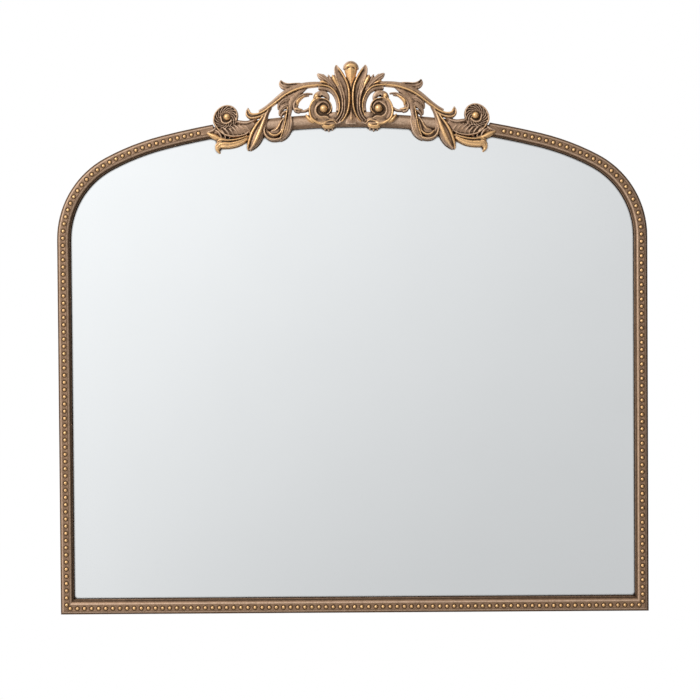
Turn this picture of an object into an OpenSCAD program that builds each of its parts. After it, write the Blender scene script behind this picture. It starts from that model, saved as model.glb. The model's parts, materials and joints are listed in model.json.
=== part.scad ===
/* [Outline] */
// Overall width of the frame
frame_w = 1016; // [960:1:1080]
// Height of the straight sides, up to where the arch springs
spring_h = 647; // [560:1:760]
// Radius of the tight corner arc
corner_r = 159; // [140:1:180]
// Angle swept by the corner arc
corner_sweep = 62; // [58:1:66]
// Radius of the shoulder arc
shoulder_r = 425; // [390:1:460]
// Angle swept by the shoulder arc
shoulder_sweep = 14; // [12:1:16]

/* [Beaded moulding] */
// Width of the moulding, seen from the front
face_w = 22; // [20:0.5:26]
// Depth of the hollow moulding
moulding_d = 11; // [10:0.5:13]
// Width of the flat land on the crown that carries the beads
land_w = 8.4; // [7.6:0.1:9]
// Height of the plain side of the moulding
side_h = 6; // [5:0.1:7]
// Sheet thickness of the moulding
sheet_t = 2; // [1.6:0.1:2.2]
// Thickness of the flat bar behind the outer edge
skirt_t = 6; // [5.6:0.1:6.4]
// Depth of the rebate that holds the glass and its backing
rebate_d = 14; // [13:0.5:18]

/* [Beads] */
// Distance from bead to bead along the crown
bead_pitch = 12.25; // [11:0.05:14]
// Radius of a bead
bead_r = 2.9; // [2.4:0.1:3.2]
// Depth of a bead's centre below the crown
bead_sink = 1.2; // [0.9:0.1:1.6]
// Radius of the round dimple that each bead sits in
dimple_r = 3.9; // [3.6:0.1:4.1]
// Depth of the dimple
dimple_d = 1.1; // [0.8:0.1:1.3]
// Distance from the middle at which the beads stop beside the crest
bead_end_x = 256; // [254:1:262]

/* [Crest bar] */
// Half the length of the plain bar under the crest
bar_half_l = 236; // [230:1:242]
// Width of the plain bar
bar_w = 18; // [16:0.5:20]
// Radius of the bar's rounded face
bar_round_r = 9.2; // [9.1:0.1:10]
// Height of the bar's rounding centre above the rebate
bar_round_h = 1.5; // [1.3:0.1:2.5]
// Thickness of the bar's rebate wall
bar_skirt_t = 3; // [2.5:0.1:3.2]

/* [Crest castings] */
// Height of the crest's flat back above the rebate
crest_back_h = 3; // [2:0.5:4]
// Relief of the lowest leaves above the flat back
low_relief = 10; // [9.5:0.5:11]
// Relief of the stems and lobes
mid_relief = 12; // [11:0.5:13]
// Relief of the main leaves and scrolls
high_relief = 14; // [13.5:0.5:15]
// Relief of the bright rims
top_relief = 16; // [15:0.5:18]
// Distance from the middle at which the castings meet
crest_split = 80; // [76:1:84]
// Gap between a casting and the bar it seats on
seat_gap = 0.1; // [0.05:0.05:0.2]
// Radius of the crest screws
crest_screw_r = 2; // [1.7:0.1:2.1]
// Radius of their countersunk heads
crest_head_r = 3.7; // [3.4:0.1:4]
// Length of the crest screws
crest_screw_l = 14; // [13:0.5:14]

/* [Joints of the frame] */
// Width of the flat keys inside the mitres and splices
key_w = 10; // [8:0.5:10]
// Thickness of the keys
key_t = 4.4; // [3.5:0.1:4.6]
// Length of each leg of a corner key
key_leg = 60; // [58:1:80]
// Distance of a corner key's first screw from the corner
key_screw_near = 28; // [26:1:32]
// Distance of its second screw from the corner
key_screw_far = 52; // [46:1:56]
// Half the length of a splice key
splice_half_l = 30; // [24:1:40]
// Distance of the splice screws from the splice
splice_screw_at = 16; // [12:1:18]
// Radius of the countersunk frame screws
frame_screw_r = 1.5; // [1.5:0.1:1.8]
// Radius of their heads
frame_head_r = 2.9; // [2.7:0.1:3.2]
// Length of the frame screws
frame_screw_l = 6; // [5:0.5:6]
// Clearance round a screw in its hole
screw_gap = 0.05; // [0.03:0.01:0.1]

/* [Glass and backing] */
// Thickness of the mirror glass
glass_t = 4; // [3:0.5:5]
// Thickness of the foam sheet behind the glass
cushion_t = 1; // [0.5:0.1:2]
// Thickness of the backing board
board_t = 5; // [4:0.5:6]
// Gap between the crest bar's rebate wall and the sheets
sheet_gap = 0.2; // [0.1:0.1:0.3]
// Length of a setting block
block_l = 50; // [30:1:80]
// Distance of the setting blocks in from the side of the frame
block_inset = 208; // [120:1:300]

/* [Retaining clips] */
// Width of an offset clip
clip_w = 14; // [10:1:20]
// Thickness of an offset clip
clip_t = 1.2; // [1:0.1:1.5]
// How far a clip reaches over the backing board
clip_reach = 14; // [10:1:20]
// Distance of a clip's step from the edge of the board
clip_step = 1.3; // [1:0.1:2]
// Radius of the clip screws
clip_screw_r = 1.5; // [1.5:0.1:1.75]
// Radius of their pan heads
clip_head_r = 2.8; // [2.6:0.1:3]
// Height of their pan heads
clip_head_h = 1.8; // [1.4:0.1:2]
// Length of the clip screws under the head
clip_screw_l = 8; // [6:0.5:10]
// Height of the lowest clip on each side
clip_first_z = 140; // [100:1:180]
// Distance from clip to clip up each side
clip_spacing = 200; // [180:1:220]
// Distance of the outer bottom clips in from the side of the frame
clip_inset = 188; // [120:1:240]
// Angle of the crown clips, seen from the crown arc's centre
clip_crown_a = 78; // [77.5:0.1:78.5]

/* [Ring hangers] */
// Distance of each ring hanger in from the side of the frame
hanger_inset = 128; // [90:1:200]
// Distance of the ring pins below the springing of the arch
hanger_drop = 47; // [20:1:100]
// Width of a hanger strap
strap_w = 14; // [12:0.5:16]
// Length of a hanger strap below the pin
strap_l = 42; // [40:1:50]
// Thickness of the folded strap
strap_t = 2; // [1.6:0.1:2.2]
// Radius of the ring's wire
wire_r = 1.5; // [1.3:0.1:1.7]
// Radius of the bow of the ring, to the middle of the wire
bow_r = 12; // [11:0.5:14]
// Bend radius at the feet of the ring
foot_r = 3; // [2.5:0.1:3.5]
// Length of the ring's straight legs
leg_l = 5; // [4:0.5:8]
// Running clearance of the pin in its eye
pin_gap = 0.05; // [0.03:0.01:0.09]
// Wall of the rolled eye round the pin
eye_wall = 1.4; // [1.1:0.1:1.6]
// Clearance of the ring and the eye over the board
ring_rest_gap = 0.1; // [0.05:0.05:0.2]
// Radius of the hanger screws
hanger_screw_r = 1.75; // [1.5:0.05:2]
// Radius of their pan heads
hanger_head_r = 3.4; // [3:0.1:3.6]
// Height of their pan heads
hanger_head_h = 1.9; // [1.5:0.1:2.2]
// Length of the hanger screws under the head
hanger_screw_l = 6; // [5:0.5:6]
// Distance of the upper screw below the pin
upper_screw_z = 9; // [8.5:0.1:10]
// Distance of the lower screw below the pin
lower_screw_z = 34; // [33:0.5:36]

/* [Wall pads] */
// Radius of a rubber wall pad
pad_r = 8; // [6:0.5:12]
// Distance of the pads in from the side of the frame
pad_inset = 53; // [50:1:90]
// Height of the lower pads
pad_low_h = 45; // [30:1:80]
// Distance of the upper pads below the springing of the arch
pad_drop = 7; // [0:1:30]
// Gap between the back of the frame and the wall
wall_gap = 4; // [4:0.5:8]

/* [Hidden] */
$fn = 64;
overlap = 1;

// The outline: corner, shoulder and crown arcs, each tangent to the next
hw = frame_w / 2;
shoulder_a = corner_sweep + shoulder_sweep;
c1 = [hw - corner_r, spring_h];
c2 = c1 - (shoulder_r - corner_r) * [cos(corner_sweep), sin(corner_sweep)];
crown_r = shoulder_r + c2[0] / cos(shoulder_a);
c3 = [0, c2[1] - (crown_r - shoulder_r) * sin(shoulder_a)];

// The moulding: a round that ends at the flat land
mid_u = face_w / 2;
land_h = rebate_d + moulding_d;
round_v = (pow(moulding_d, 2) + pow(land_w / 2, 2) - pow(side_h, 2) - pow(mid_u, 2))
  / (2 * (moulding_d - side_h));
round_r = sqrt(pow(moulding_d - round_v, 2) + pow(land_w / 2, 2));

// The crest bar lies inside the moulding's inner edge
bar_u = face_w - bar_w;
bar_mid_u = face_w - bar_w / 2;
bar_line_r = crown_r - bar_mid_u;
bar_a = acos(bar_half_l / bar_line_r);

// The bead line, stretch by stretch
bead_line_r = [corner_r - mid_u, shoulder_r - mid_u, crown_r - mid_u];
bead_end_a = acos(bead_end_x / bead_line_r[2]);
side_run = spring_h - mid_u;
corner_run = bead_line_r[0] * corner_sweep * PI / 180;
shoulder_run = bead_line_r[1] * shoulder_sweep * PI / 180;
crown_run = bead_line_r[2] * (bead_end_a - shoulder_a) * PI / 180;

// The sheets in the rebate
board_v = rebate_d - glass_t - cushion_t - board_t;
sheet_inset = max(skirt_t, bar_u + bar_skirt_t) + sheet_gap;
block_t = sheet_inset - skirt_t;

// The ring hangers
hanger_x = hw - hanger_inset;
hanger_h = spring_h - hanger_drop;
eye_r = wire_r + pin_gap + eye_wall;
pin_h = eye_r + ring_rest_gap;
bow_h = foot_r + leg_l + bow_r;
ring_lean = asin((pin_h - wire_r - ring_rest_gap) / bow_h);

// Where the screws sit, as points of the frame's front view
splice_screw_a = splice_screw_at / bar_line_r * 180 / PI;
stile_screws = [[hw - mid_u, key_screw_near], [hw - mid_u, key_screw_far]];
foot_screws = [[hw - key_screw_near, mid_u], [hw - key_screw_far, mid_u]];
rail_splice_screw = on_arc(c3, bar_line_r, bar_a - splice_screw_a);
bar_splice_screw = on_arc(c3, bar_line_r, bar_a + splice_screw_a);
palmette_screw = [43, -4];
wing_screws = [[113, -2], [159, 0]];

// Where the clips sit: point of the outer edge and its outward direction
clips_right = [
  [[hw, clip_first_z], 0],
  [[hw, clip_first_z + clip_spacing], 0],
  [[hw, clip_first_z + 2 * clip_spacing], 0],
  [on_arc(c3, crown_r, clip_crown_a), clip_crown_a]
];
clip_bottom_x = hw - clip_inset;
clips_bottom = [for (x = [-clip_bottom_x, 0, clip_bottom_x]) [[x, 0], -90]];

// The domed cross section of every crest stroke, as shares of its half width and relief
dome = [[-1, 0], [-1, 0.35], [-0.7, 0.8], [0, 1], [0.7, 0.8], [1, 0.35], [1, 0]];
tip_relief = 0.55;
arc_fn = 360;
section_fn = 32;
ball_fn = 14;

// Crest strokes: points [distance from the middle, height over the bar's line, half width]
tongue = [[0, 98, 7], [0, 94, 11], [0, 87, 12.5], [0, 77, 10.5], [0, 63, 6], [0, 50, 2]];
petal = [
  [24, 91, 1.5], [23, 84, 6], [19, 72, 8.5], [14, 56, 9], [11, 36, 7.5], [13, 17, 7], [19, 2, 6],
  [31, -8, 4.5]
];
rib = [
  [22, 88, 1.5], [16, 79, 2], [10, 67, 2], [5, 53, 2], [3, 39, 2], [4, 24, 2], [7, 9, 2],
  [12, -2, 1.5], [19, -12, 1.5]
];
petal_2 = [[34, 76, 1.5], [30, 67, 4], [23, 53, 4.5], [18, 38, 4], [17, 21, 4]];
petal_3 = [[41, 76, 1.5], [37, 67, 3.5], [29, 56, 3.5], [23, 43, 3.5], [20, 29, 2.5]];
side_leaf = [[57, 78, 2], [52, 71, 4.5], [43, 62, 4.5], [33, 53, 4], [25, 41, 3]];
stem = [[56, 58, 4], [44, 55, 3.5], [33, 48, 3.5], [25, 38, 3.5], [20, 26, 3.5], [20, 14, 3.5]];
foot = [[0, 14, 3], [0, 8, 6], [0, -2, 7], [0, -14, 6]];
scroll_band = concat(
  [[25, 6, 3.5], [32, -1, 6]],
  turn([49, 18], 22, 14, -108, 60, [7.5, 7]),
  turn([49, 18], 14, 12, 90, 210, [5, 1.5])
);
scroll_rim = concat([[60, 38, 2]], turn([47, 15], 25.5, 27.5, 36, -86, [2, 2.5]));
scroll_hump = [[64, 38, 1.5], [58, 43, 4], [51, 44, 5], [44, 38, 4], [41, 32, 1.5]];
scroll_lobe = [[77, 9, 1.5], [74, 2, 4], [67, -5, 2.5]];
under_lobe = [[49, -15, 2.5], [40, -17, 4], [30, -9, 2.5]];
branch = [
  [53, 56, 5.5], [71, 59, 5.5], [92, 58, 5.5], [114, 49, 4.5], [134, 34, 4], [152, 24, 3.5],
  [163, 21, 3.5], [172, 23, 2.5], [176, 29, 1.5]
];
hook = [[149, 22, 2.5], [161, 14, 3.5], [172, 15, 3.5], [178, 22, 3.5], [177, 30, 1.5]];
shoot = [[87, 59, 4], [102, 58, 5], [115, 58, 5.5], [121, 63, 4], [121, 71, 1.5]];
pod = [
  [148, 27, 2.5], [155, 12, 4.5], [160, -2, 5.5], [165, -19, 6], [171, -33, 4.5], [176, -42, 1.5]
];
pod_rib = [[159, 10, 1.5], [167, -6, 2.5], [173, -20, 3], [176, -33, 2], [178, -42, 1]];
flute = [[72, 50, 2.5], [80, 48, 5], [92, 45, 5.5], [104, 41, 5], [118, 32, 4.5], [122, 23, 2.5]];
branch_web = [[76, 54, 2], [84, 53, 3.5], [98, 50, 4.5], [112, 42, 5], [125, 34, 4]];
leaf = [
  [80, 47, 4], [96, 39, 6], [107, 29, 8], [112, 16, 8.5], [113, 4, 10], [113, -10, 8],
  [117, -22, 5], [122, -30, 1.5]
];
curl = concat([[111, 8, 4], [123, 2, 5]], turn([134, -13], 12, 11, 70, -200, [5.5, 2]));
leaf_lobe_1 = [[105, 26, 4], [101, 12, 4.5], [99, 0, 3.5], [101, -9, 1.5]];
leaf_lobe_2 = [[100, 19, 3], [95, 8, 2.5], [95, 2, 1.5]];
leaf_lobe_3 = [[114, 30, 4.5], [121, 24, 4], [123, 16, 3], [120, 10, 2.5]];
bud = turn([90, 27], 12, 7, 100, -130, [2.5, 2.5]);
bud_drop = [[86, 40, 1], [92, 35, 2], [95, 30, 2.5]];
link = [[91, 17, 2.5], [82, 18, 2], [73, 17, 3]];
volute_at = [217, 20];
volute_rim = concat(
  turn(volute_at, 20, 20.5, 210, -25, [2, 2.5]),
  [[230, 0, 2.5], [220, -9, 2.5], [205, -14, 2.5], [189, -14, 2.5], [178, -11, 2], [171, -4, 2]]
);
volute_plate_r = 20;
volute_leaf = [
  [177, -18, 2], [189, -22, 5], [204, -23, 7], [219, -22, 8], [228, -25, 5], [229, -35, 1]
];
volute_collar = [[250, 0, 1], [243, -2, 4.5], [235, -5, 8], [226, -8, 8.5]];
fin_plate = [[166, -4], [180, 10], [198, 13], [214, 4], [226, -2], [216, -10], [196, -15], [180, -12]];
scroll_floor_r = 15;
scroll_eye = [47, 18];
scroll_eye_r = 7;
scroll_knob = [59, 41];
scroll_knob_r = 3.5;
volute_eye = [215, 21];
volute_eye_r = 5;

// A point at angle a on a circle round c
function on_arc(c, r, a) = c + r * [cos(a), sin(a)];

// A spiral stretch of a stroke, in steps of about thirty degrees
function turn(c, r0, r1, a0, a1, w) =
  let (steps = ceil(abs(a1 - a0) / 30))
  [for (i = [0:steps])
    let (t = i / steps, p = on_arc(c, r0 + (r1 - r0) * t, a0 + (a1 - a0) * t))
    [p[0], p[1], w[0] + (w[1] - w[0]) * t]];

// The height of the crest bar's middle line at distance x from the middle
function bar_line(x) = c3[1] + sqrt(pow(bar_line_r, 2) - pow(x, 2));

// A crest point, given over the bar's line, as a point of the front view
function over_bar(p) = [p[0], bar_line(p[0]) + p[1]];

// The points of a stroke with one smooth point added in each stretch
function smoothed(pts) =
  let (last = len(pts) - 1)
  concat(
    [for (i = [0:last - 1], half = [0, 1])
      half == 0 ? pts[i]
      : (9 * (pts[i] + pts[i + 1]) - pts[max(i - 1, 0)] - pts[min(i + 2, last)]) / 16],
    [pts[last]]
  );

// The place of a point at distance s along the bead line, from the mitre up
function bead_place(s) =
  s < side_run ? [hw - mid_u, mid_u + s]
  : s < side_run + corner_run
  ? on_arc(c1, bead_line_r[0], (s - side_run) / bead_line_r[0] * 180 / PI)
  : s < side_run + corner_run + shoulder_run
  ? on_arc(c2, bead_line_r[1],
      corner_sweep + (s - side_run - corner_run) / bead_line_r[1] * 180 / PI)
  : on_arc(c3, bead_line_r[2],
      shoulder_a + (s - side_run - corner_run - shoulder_run) / bead_line_r[2] * 180 / PI);

module both_sides() {
  children();
  mirror([1, 0, 0]) children();
}

// Places a piece at point p of the front view, with depth v in front of the frame's back
module at_point(p, v) {
  translate([p[0], -wall_gap - v, p[1]]) children();
}

// Moves a piece by whole millimetres first, so that the small part keeps all its decimals
module shift(p) {
  whole = [for (d = p) floor(d)];
  translate(whole) translate(p - whole) children();
}

// Turns a shape drawn in the XY plane to stand in the frame's plane, its height forward
module upright() {
  rotate([90, 0, 0]) children();
}

module countersunk(head_r, r, l, gap) {
  upright() {
    cylinder(h = head_r - r, r1 = head_r, r2 = r);
    cylinder(h = l, r = r + gap);
  }
}

module pan_head(head_r, head_h, r, l) {
  rotate([-90, 0, 0]) cylinder(h = head_h, r = head_r);
  upright() cylinder(h = l, r = r);
}

module frame_screw(p, gap) {
  at_point(p, rebate_d) countersunk(frame_head_r, frame_screw_r, frame_screw_l + 4 * gap, gap);
}

module crest_screw(p, gap) {
  at_point(over_bar(p), rebate_d)
    countersunk(crest_head_r, crest_screw_r, crest_screw_l + 4 * gap, gap);
}

// The outer shape of the moulding: inward distance along X, depth along Y
module rail_outline() {
  square([skirt_t, rebate_d + overlap]);
  intersection() {
    translate([0, rebate_d]) square([face_w, moulding_d]);
    translate([mid_u, rebate_d + round_v]) circle(round_r);
  }
}

module rail_section() {
  difference() {
    rail_outline();
    intersection() {
      translate([sheet_t, rebate_d + sheet_t])
        square([face_w - 2 * sheet_t, moulding_d - 2 * sheet_t]);
      translate([mid_u, rebate_d + round_v]) circle(round_r - sheet_t);
    }
  }
}

module bar_outline() {
  translate([bar_u, 0]) square([bar_skirt_t, rebate_d + overlap]);
  intersection() {
    translate([bar_u, rebate_d]) square([bar_w, moulding_d]);
    translate([bar_mid_u, rebate_d + bar_round_h]) circle(bar_round_r);
  }
}

module bar_section() {
  difference() {
    bar_outline();
    intersection() {
      translate([bar_u + sheet_t, rebate_d + sheet_t])
        square([bar_w - 2 * sheet_t, moulding_d]);
      translate([bar_mid_u, rebate_d + bar_round_h]) circle(bar_round_r - sheet_t);
    }
  }
}

// Sweeps a section round an arc of the outline, from angle a0 to a1
module arc_rail(c, r, a0, a1) {
  translate([0, -wall_gap, 0]) upright() shift(c)
    rotate_extrude(start = a0, angle = a1 - a0) shift([r, 0]) mirror([1, 0]) children();
}

module dimple(p) {
  ball_r = (pow(dimple_r, 2) + pow(dimple_d, 2)) / (2 * dimple_d);
  at_point(p, land_h + ball_r - dimple_d) sphere(ball_r);
}

module bead(p) {
  at_point(p, land_h - bead_sink) sphere(bead_r);
}

// Stands a piece at a clip's place: -X points inward, +Y to the wall
module clip_spot(place) {
  at_point(place[0], 0) rotate([0, -place[1], 0]) children();
}

module clip_screw(gap) {
  translate([-skirt_t / 2, clip_t, 0]) upright()
    cylinder(h = clip_screw_l + 4 * gap, r = clip_screw_r + gap);
}

// The corner triangle outside or inside the mitre line
module mitre_cut(inner) {
  reach = face_w + overlap;
  upright() translate([0, 0, -wall_gap]) linear_extrude(land_h + 3 * wall_gap)
    polygon([[hw - reach, reach], [hw + overlap, -overlap],
      inner ? [hw - reach, -overlap] : [hw + overlap, reach]]);
}

module rail_right() {
  run = side_run + corner_run + shoulder_run + crown_run;
  count = floor(run / bead_pitch);
  places = [for (i = [0:count - 1]) bead_place((i + 0.5) * run / count)];
  color("peru") {
    difference() {
      union() {
        translate([hw, -wall_gap, 0]) rotate(180) linear_extrude(spring_h) rail_section();
        arc_rail(c1, corner_r, 0, corner_sweep) rail_section();
        arc_rail(c2, shoulder_r, corner_sweep, shoulder_a) rail_section();
        arc_rail(c3, crown_r, shoulder_a, bar_a) rail_section();
      }
      mitre_cut(true);
      for (p = places) dimple(p);
      for (p = stile_screws) frame_screw(p, screw_gap);
      frame_screw(rail_splice_screw, screw_gap);
      for (c = clips_right) clip_spot(c) clip_screw(screw_gap);
    }
    for (p = places) bead(p);
  }
}

module rail_left() {
  mirror([1, 0, 0]) rail_right();
}

module bottom_rail() {
  run = frame_w - face_w;
  count = floor(run / bead_pitch);
  places = [for (i = [0:count - 1]) [(i + 0.5) * run / count - run / 2, mid_u]];
  color("peru") {
    difference() {
      translate([-hw, -wall_gap, 0]) rotate([180, 0, 0]) rotate([0, 90, 0])
        linear_extrude(frame_w) rail_section();
      both_sides() mitre_cut(false);
      for (p = places) dimple(p);
      both_sides() for (p = foot_screws) frame_screw(p, screw_gap);
      for (c = clips_bottom) clip_spot(c) clip_screw(screw_gap);
    }
    for (p = places) bead(p);
  }
}

module crest_bar() {
  color("sienna") difference() {
    arc_rail(c3, crown_r, bar_a, 180 - bar_a, $fn = arc_fn) bar_section();
    both_sides() {
      frame_screw(bar_splice_screw, screw_gap);
      crest_screw(palmette_screw, screw_gap);
      for (p = wing_screws) crest_screw(p, screw_gap);
    }
  }
}

// One domed slice of a stroke: point p, heading a, full relief h
function slice(p, a, h, widest) =
  let (rise = h * (tip_relief + (1 - tip_relief) * p[2] / widest))
  [for (d = dome) [p[0] - sin(a) * d[0] * p[2], p[1] + cos(a) * d[0] * p[2], d[1] * rise]];

// A crest stroke: a chain of convex pieces between its slices
module stroke(pts, h) {
  path = [for (p = smoothed(pts)) [p[0], bar_line(p[0]) + p[1], p[2]]];
  last = len(path) - 1;
  widest = max([for (p = path) p[2]]);
  slices = [for (i = [0:last])
    let (ahead = path[min(i + 1, last)], behind = path[max(i - 1, 0)])
    slice(path[i], atan2(ahead[1] - behind[1], ahead[0] - behind[0]), h, widest)];
  corners = len(dome);
  for (i = [1:last]) hull()
    polyhedron(concat(slices[i - 1], slices[i]),
      [[for (k = [0:corners - 1]) k], [for (k = [0:corners - 1]) corners + k]]);
}

module ball(p, r, h) {
  translate(concat(over_bar(p), h)) sphere(r, $fn = ball_fn);
}

// The sunk floor inside a scroll
module plate(p, r) {
  translate(over_bar(p)) cylinder(h = low_relief, r = r, $fn = 2 * ball_fn);
}

module palmette_half() {
  stroke(petal, high_relief);
  stroke(rib, top_relief);
  stroke(petal_2, mid_relief);
  stroke(petal_3, low_relief);
  stroke(side_leaf, low_relief);
  stroke(stem, mid_relief);
  stroke(scroll_band, high_relief);
  stroke(scroll_rim, top_relief);
  stroke(scroll_hump, mid_relief);
  stroke(scroll_lobe, mid_relief);
  stroke(under_lobe, mid_relief);
  plate(scroll_eye, scroll_floor_r);
  ball(scroll_eye, scroll_eye_r, low_relief);
  ball(scroll_knob, scroll_knob_r, mid_relief);
}

// The strokes that run through the meeting plane of two castings
module joining_strokes() {
  stroke(branch, mid_relief);
  stroke(flute, mid_relief);
  stroke(branch_web, low_relief);
  stroke(link, mid_relief);
}

module wing_strokes() {
  stroke(hook, mid_relief);
  stroke(shoot, low_relief);
  stroke(pod, high_relief);
  stroke(pod_rib, mid_relief);
  stroke(leaf, top_relief);
  stroke(curl, high_relief);
  stroke(leaf_lobe_1, mid_relief);
  stroke(leaf_lobe_2, mid_relief);
  stroke(leaf_lobe_3, mid_relief);
  stroke(bud, mid_relief);
  stroke(bud_drop, high_relief);
  stroke(volute_rim, high_relief);
  stroke(volute_leaf, mid_relief);
  stroke(volute_collar, mid_relief);
  ball(volute_eye, volute_eye_r, low_relief);
  plate(volute_at, volute_plate_r);
  linear_extrude(low_relief) polygon([for (p = fin_plate) over_bar(p)]);
}

// All the metal a casting must leave free: the bar, the rails beside it and the screws
module seat_space() {
  spill = seat_gap / bar_line_r * 180 / PI;
  both_sides() {
    arc_rail(c3, crown_r, bar_a, 90 + spill, $fn = arc_fn) offset(delta = seat_gap)
      bar_outline($fn = section_fn);
    arc_rail(c3, crown_r, shoulder_a, bar_a + spill, $fn = arc_fn) offset(delta = seat_gap)
      rail_outline($fn = section_fn);
    crest_screw(palmette_screw, screw_gap);
    for (p = wing_screws) crest_screw(p, screw_gap);
  }
}

// Stands relief drawn in the XY plane on the plane of the crest's back
module as_relief() {
  at_point([0, 0], rebate_d + crest_back_h) upright() children();
}

module crest_centre() {
  color("darkgoldenrod") difference() {
    intersection() {
      as_relief() {
        stroke(tongue, high_relief);
        stroke(foot, high_relief);
        both_sides() {
          palmette_half();
          joining_strokes();
        }
      }
      translate([-crest_split, -2 * land_h, 0]) cube([2 * crest_split, 2 * land_h, crown_r]);
    }
    seat_space();
  }
}

module crest_wing_right() {
  color("darkgoldenrod") difference() {
    as_relief() {
      joining_strokes();
      wing_strokes();
    }
    translate([-crest_split, -2 * land_h, 0]) cube([2 * crest_split, 2 * land_h, crown_r]);
    seat_space();
  }
}

module crest_wing_left() {
  mirror([1, 0, 0]) crest_wing_right();
}

module corner_key_right() {
  near = hw - mid_u + key_w / 2;
  edge = mid_u - key_w / 2;
  color("gray") difference() {
    at_point([0, 0], rebate_d + sheet_t) upright() linear_extrude(key_t) union() {
      translate([near - key_w, edge]) square([key_w, key_leg]);
      translate([near - key_leg, edge]) square([key_leg, key_w]);
    }
    for (p = concat(stile_screws, foot_screws)) frame_screw(p, screw_gap);
  }
}

module corner_key_left() {
  mirror([1, 0, 0]) corner_key_right();
}

module splice_key_right() {
  half_a = splice_half_l / bar_line_r * 180 / PI;
  color("gray") difference() {
    arc_rail(c3, crown_r, bar_a - half_a, bar_a + half_a)
      translate([bar_mid_u - key_w / 2, rebate_d + sheet_t]) square([key_w, key_t]);
    frame_screw(rail_splice_screw, screw_gap);
    frame_screw(bar_splice_screw, screw_gap);
  }
}

module splice_key_left() {
  mirror([1, 0, 0]) splice_key_right();
}

module joint_screws() {
  color("silver") both_sides()
    for (p = concat(stile_screws, foot_screws, [rail_splice_screw, bar_splice_screw]))
      frame_screw(p, 0);
}

module crest_screws() {
  color("silver") both_sides() for (p = concat([palmette_screw], wing_screws)) crest_screw(p, 0);
}

// The sector of a sheet that one arc of the outline bounds
module sheet_sector(c, r, a0, a1) {
  inner_r = r - corner_r / 2;
  outer_r = r + corner_r;
  intersection() {
    translate(c) circle(r);
    polygon([on_arc(c, inner_r, a0), on_arc(c, outer_r, a0), on_arc(c, outer_r, a1),
      on_arc(c, inner_r, a1)]);
  }
}

// The outline of the glass and the sheets behind it
module sheet_outline() {
  side = hw - sheet_inset;
  shoulder = on_arc(c1, corner_r - sheet_inset, corner_sweep);
  crown = on_arc(c2, shoulder_r - sheet_inset, shoulder_a);
  polygon([
    [side, sheet_inset], [side, spring_h], shoulder, crown,
    [-crown[0], crown[1]], [-shoulder[0], shoulder[1]], [-side, spring_h], [-side, sheet_inset]
  ]);
  both_sides() {
    sheet_sector(c1, corner_r - sheet_inset, 0, corner_sweep);
    sheet_sector(c2, shoulder_r - sheet_inset, corner_sweep, shoulder_a);
  }
  sheet_sector(c3, crown_r - sheet_inset, shoulder_a, 180 - shoulder_a);
}

module mirror_glass() {
  color("lightsteelblue") at_point([0, 0], rebate_d - glass_t) upright()
    linear_extrude(glass_t) sheet_outline();
}

module cushion_sheet() {
  color("whitesmoke") at_point([0, 0], rebate_d - glass_t - cushion_t) upright()
    linear_extrude(cushion_t) sheet_outline();
}

module back_panel() {
  color("saddlebrown") difference() {
    at_point([0, 0], board_v) upright() linear_extrude(board_t) sheet_outline();
    both_sides() at_hanger() hanger_screw_pair(screw_gap);
  }
}

module setting_blocks() {
  stack = glass_t + cushion_t + board_t;
  color("dimgray") both_sides() at_point([hw - block_inset - block_l / 2, skirt_t], rebate_d)
    cube([block_l, stack, block_t]);
}

module panel_clips() {
  step_u = sheet_inset + clip_step;
  margin = skirt_t / 2 - clip_head_r;
  color("lightgray") {
    both_sides() for (c = clips_right) clip_spot(c) clip(margin, step_u);
    for (c = clips_bottom) clip_spot(c) clip(margin, step_u);
  }
}

module clip(margin, step_u) {
  difference() {
    translate([0, 0, -clip_w / 2]) linear_extrude(clip_w) rotate(180) union() {
      translate([margin, -clip_t]) square([step_u + clip_t - margin, clip_t]);
      translate([step_u, -clip_t]) square([clip_t, board_v + clip_t]);
      translate([step_u, board_v - clip_t]) square([clip_reach, clip_t]);
    }
    clip_screw(screw_gap);
  }
}

module clip_screws() {
  color("silver") {
    both_sides() for (c = clips_right) clip_spot(c) clip_screw_piece();
    for (c = clips_bottom) clip_spot(c) clip_screw_piece();
  }
}

module clip_screw_piece() {
  translate([-skirt_t / 2, clip_t, 0])
    pan_head(clip_head_r, clip_head_h, clip_screw_r, clip_screw_l);
}

// Places a piece drawn round the ring's pin
module at_hanger() {
  at_point([hanger_x, hanger_h], board_v - pin_h) children();
}

module hanger_screw_pair(gap) {
  for (z = [upper_screw_z, lower_screw_z]) translate([0, strap_t - pin_h, -z]) upright()
    cylinder(h = hanger_screw_l + 4 * gap, r = hanger_screw_r + gap);
}

module hanger_strap_right() {
  end_z = strap_l - strap_w / 2;
  color("silver") at_hanger() difference() {
    union() {
      rotate([0, 90, 0]) cylinder(h = strap_w, r = eye_r, center = true);
      translate([-strap_w / 2, -pin_h, -end_z]) cube([strap_w, strap_t, end_z]);
      translate([0, strap_t - pin_h, -end_z]) upright() cylinder(h = strap_t, r = strap_w / 2);
    }
    rotate([0, 90, 0]) cylinder(h = strap_w + overlap, r = wire_r + pin_gap, center = true);
    hanger_screw_pair(screw_gap);
  }
}

module hanger_strap_left() {
  mirror([1, 0, 0]) hanger_strap_right();
}

// The ring stands on its pin and leans on the board
module d_ring_right() {
  color("silver") at_hanger() rotate([ring_lean, 0, 0]) {
    rotate([0, 90, 0]) cylinder(h = 2 * (bow_r - foot_r), r = wire_r, center = true);
    both_sides() {
      translate([bow_r - foot_r, 0, foot_r]) upright()
        rotate_extrude(start = -90, angle = 90) translate([foot_r, 0]) circle(wire_r);
      translate([bow_r, 0, foot_r]) cylinder(h = leg_l, r = wire_r);
    }
    translate([0, 0, foot_r + leg_l]) upright()
      rotate_extrude(start = 0, angle = 180) translate([bow_r, 0]) circle(wire_r);
  }
}

module d_ring_left() {
  mirror([1, 0, 0]) d_ring_right();
}

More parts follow.
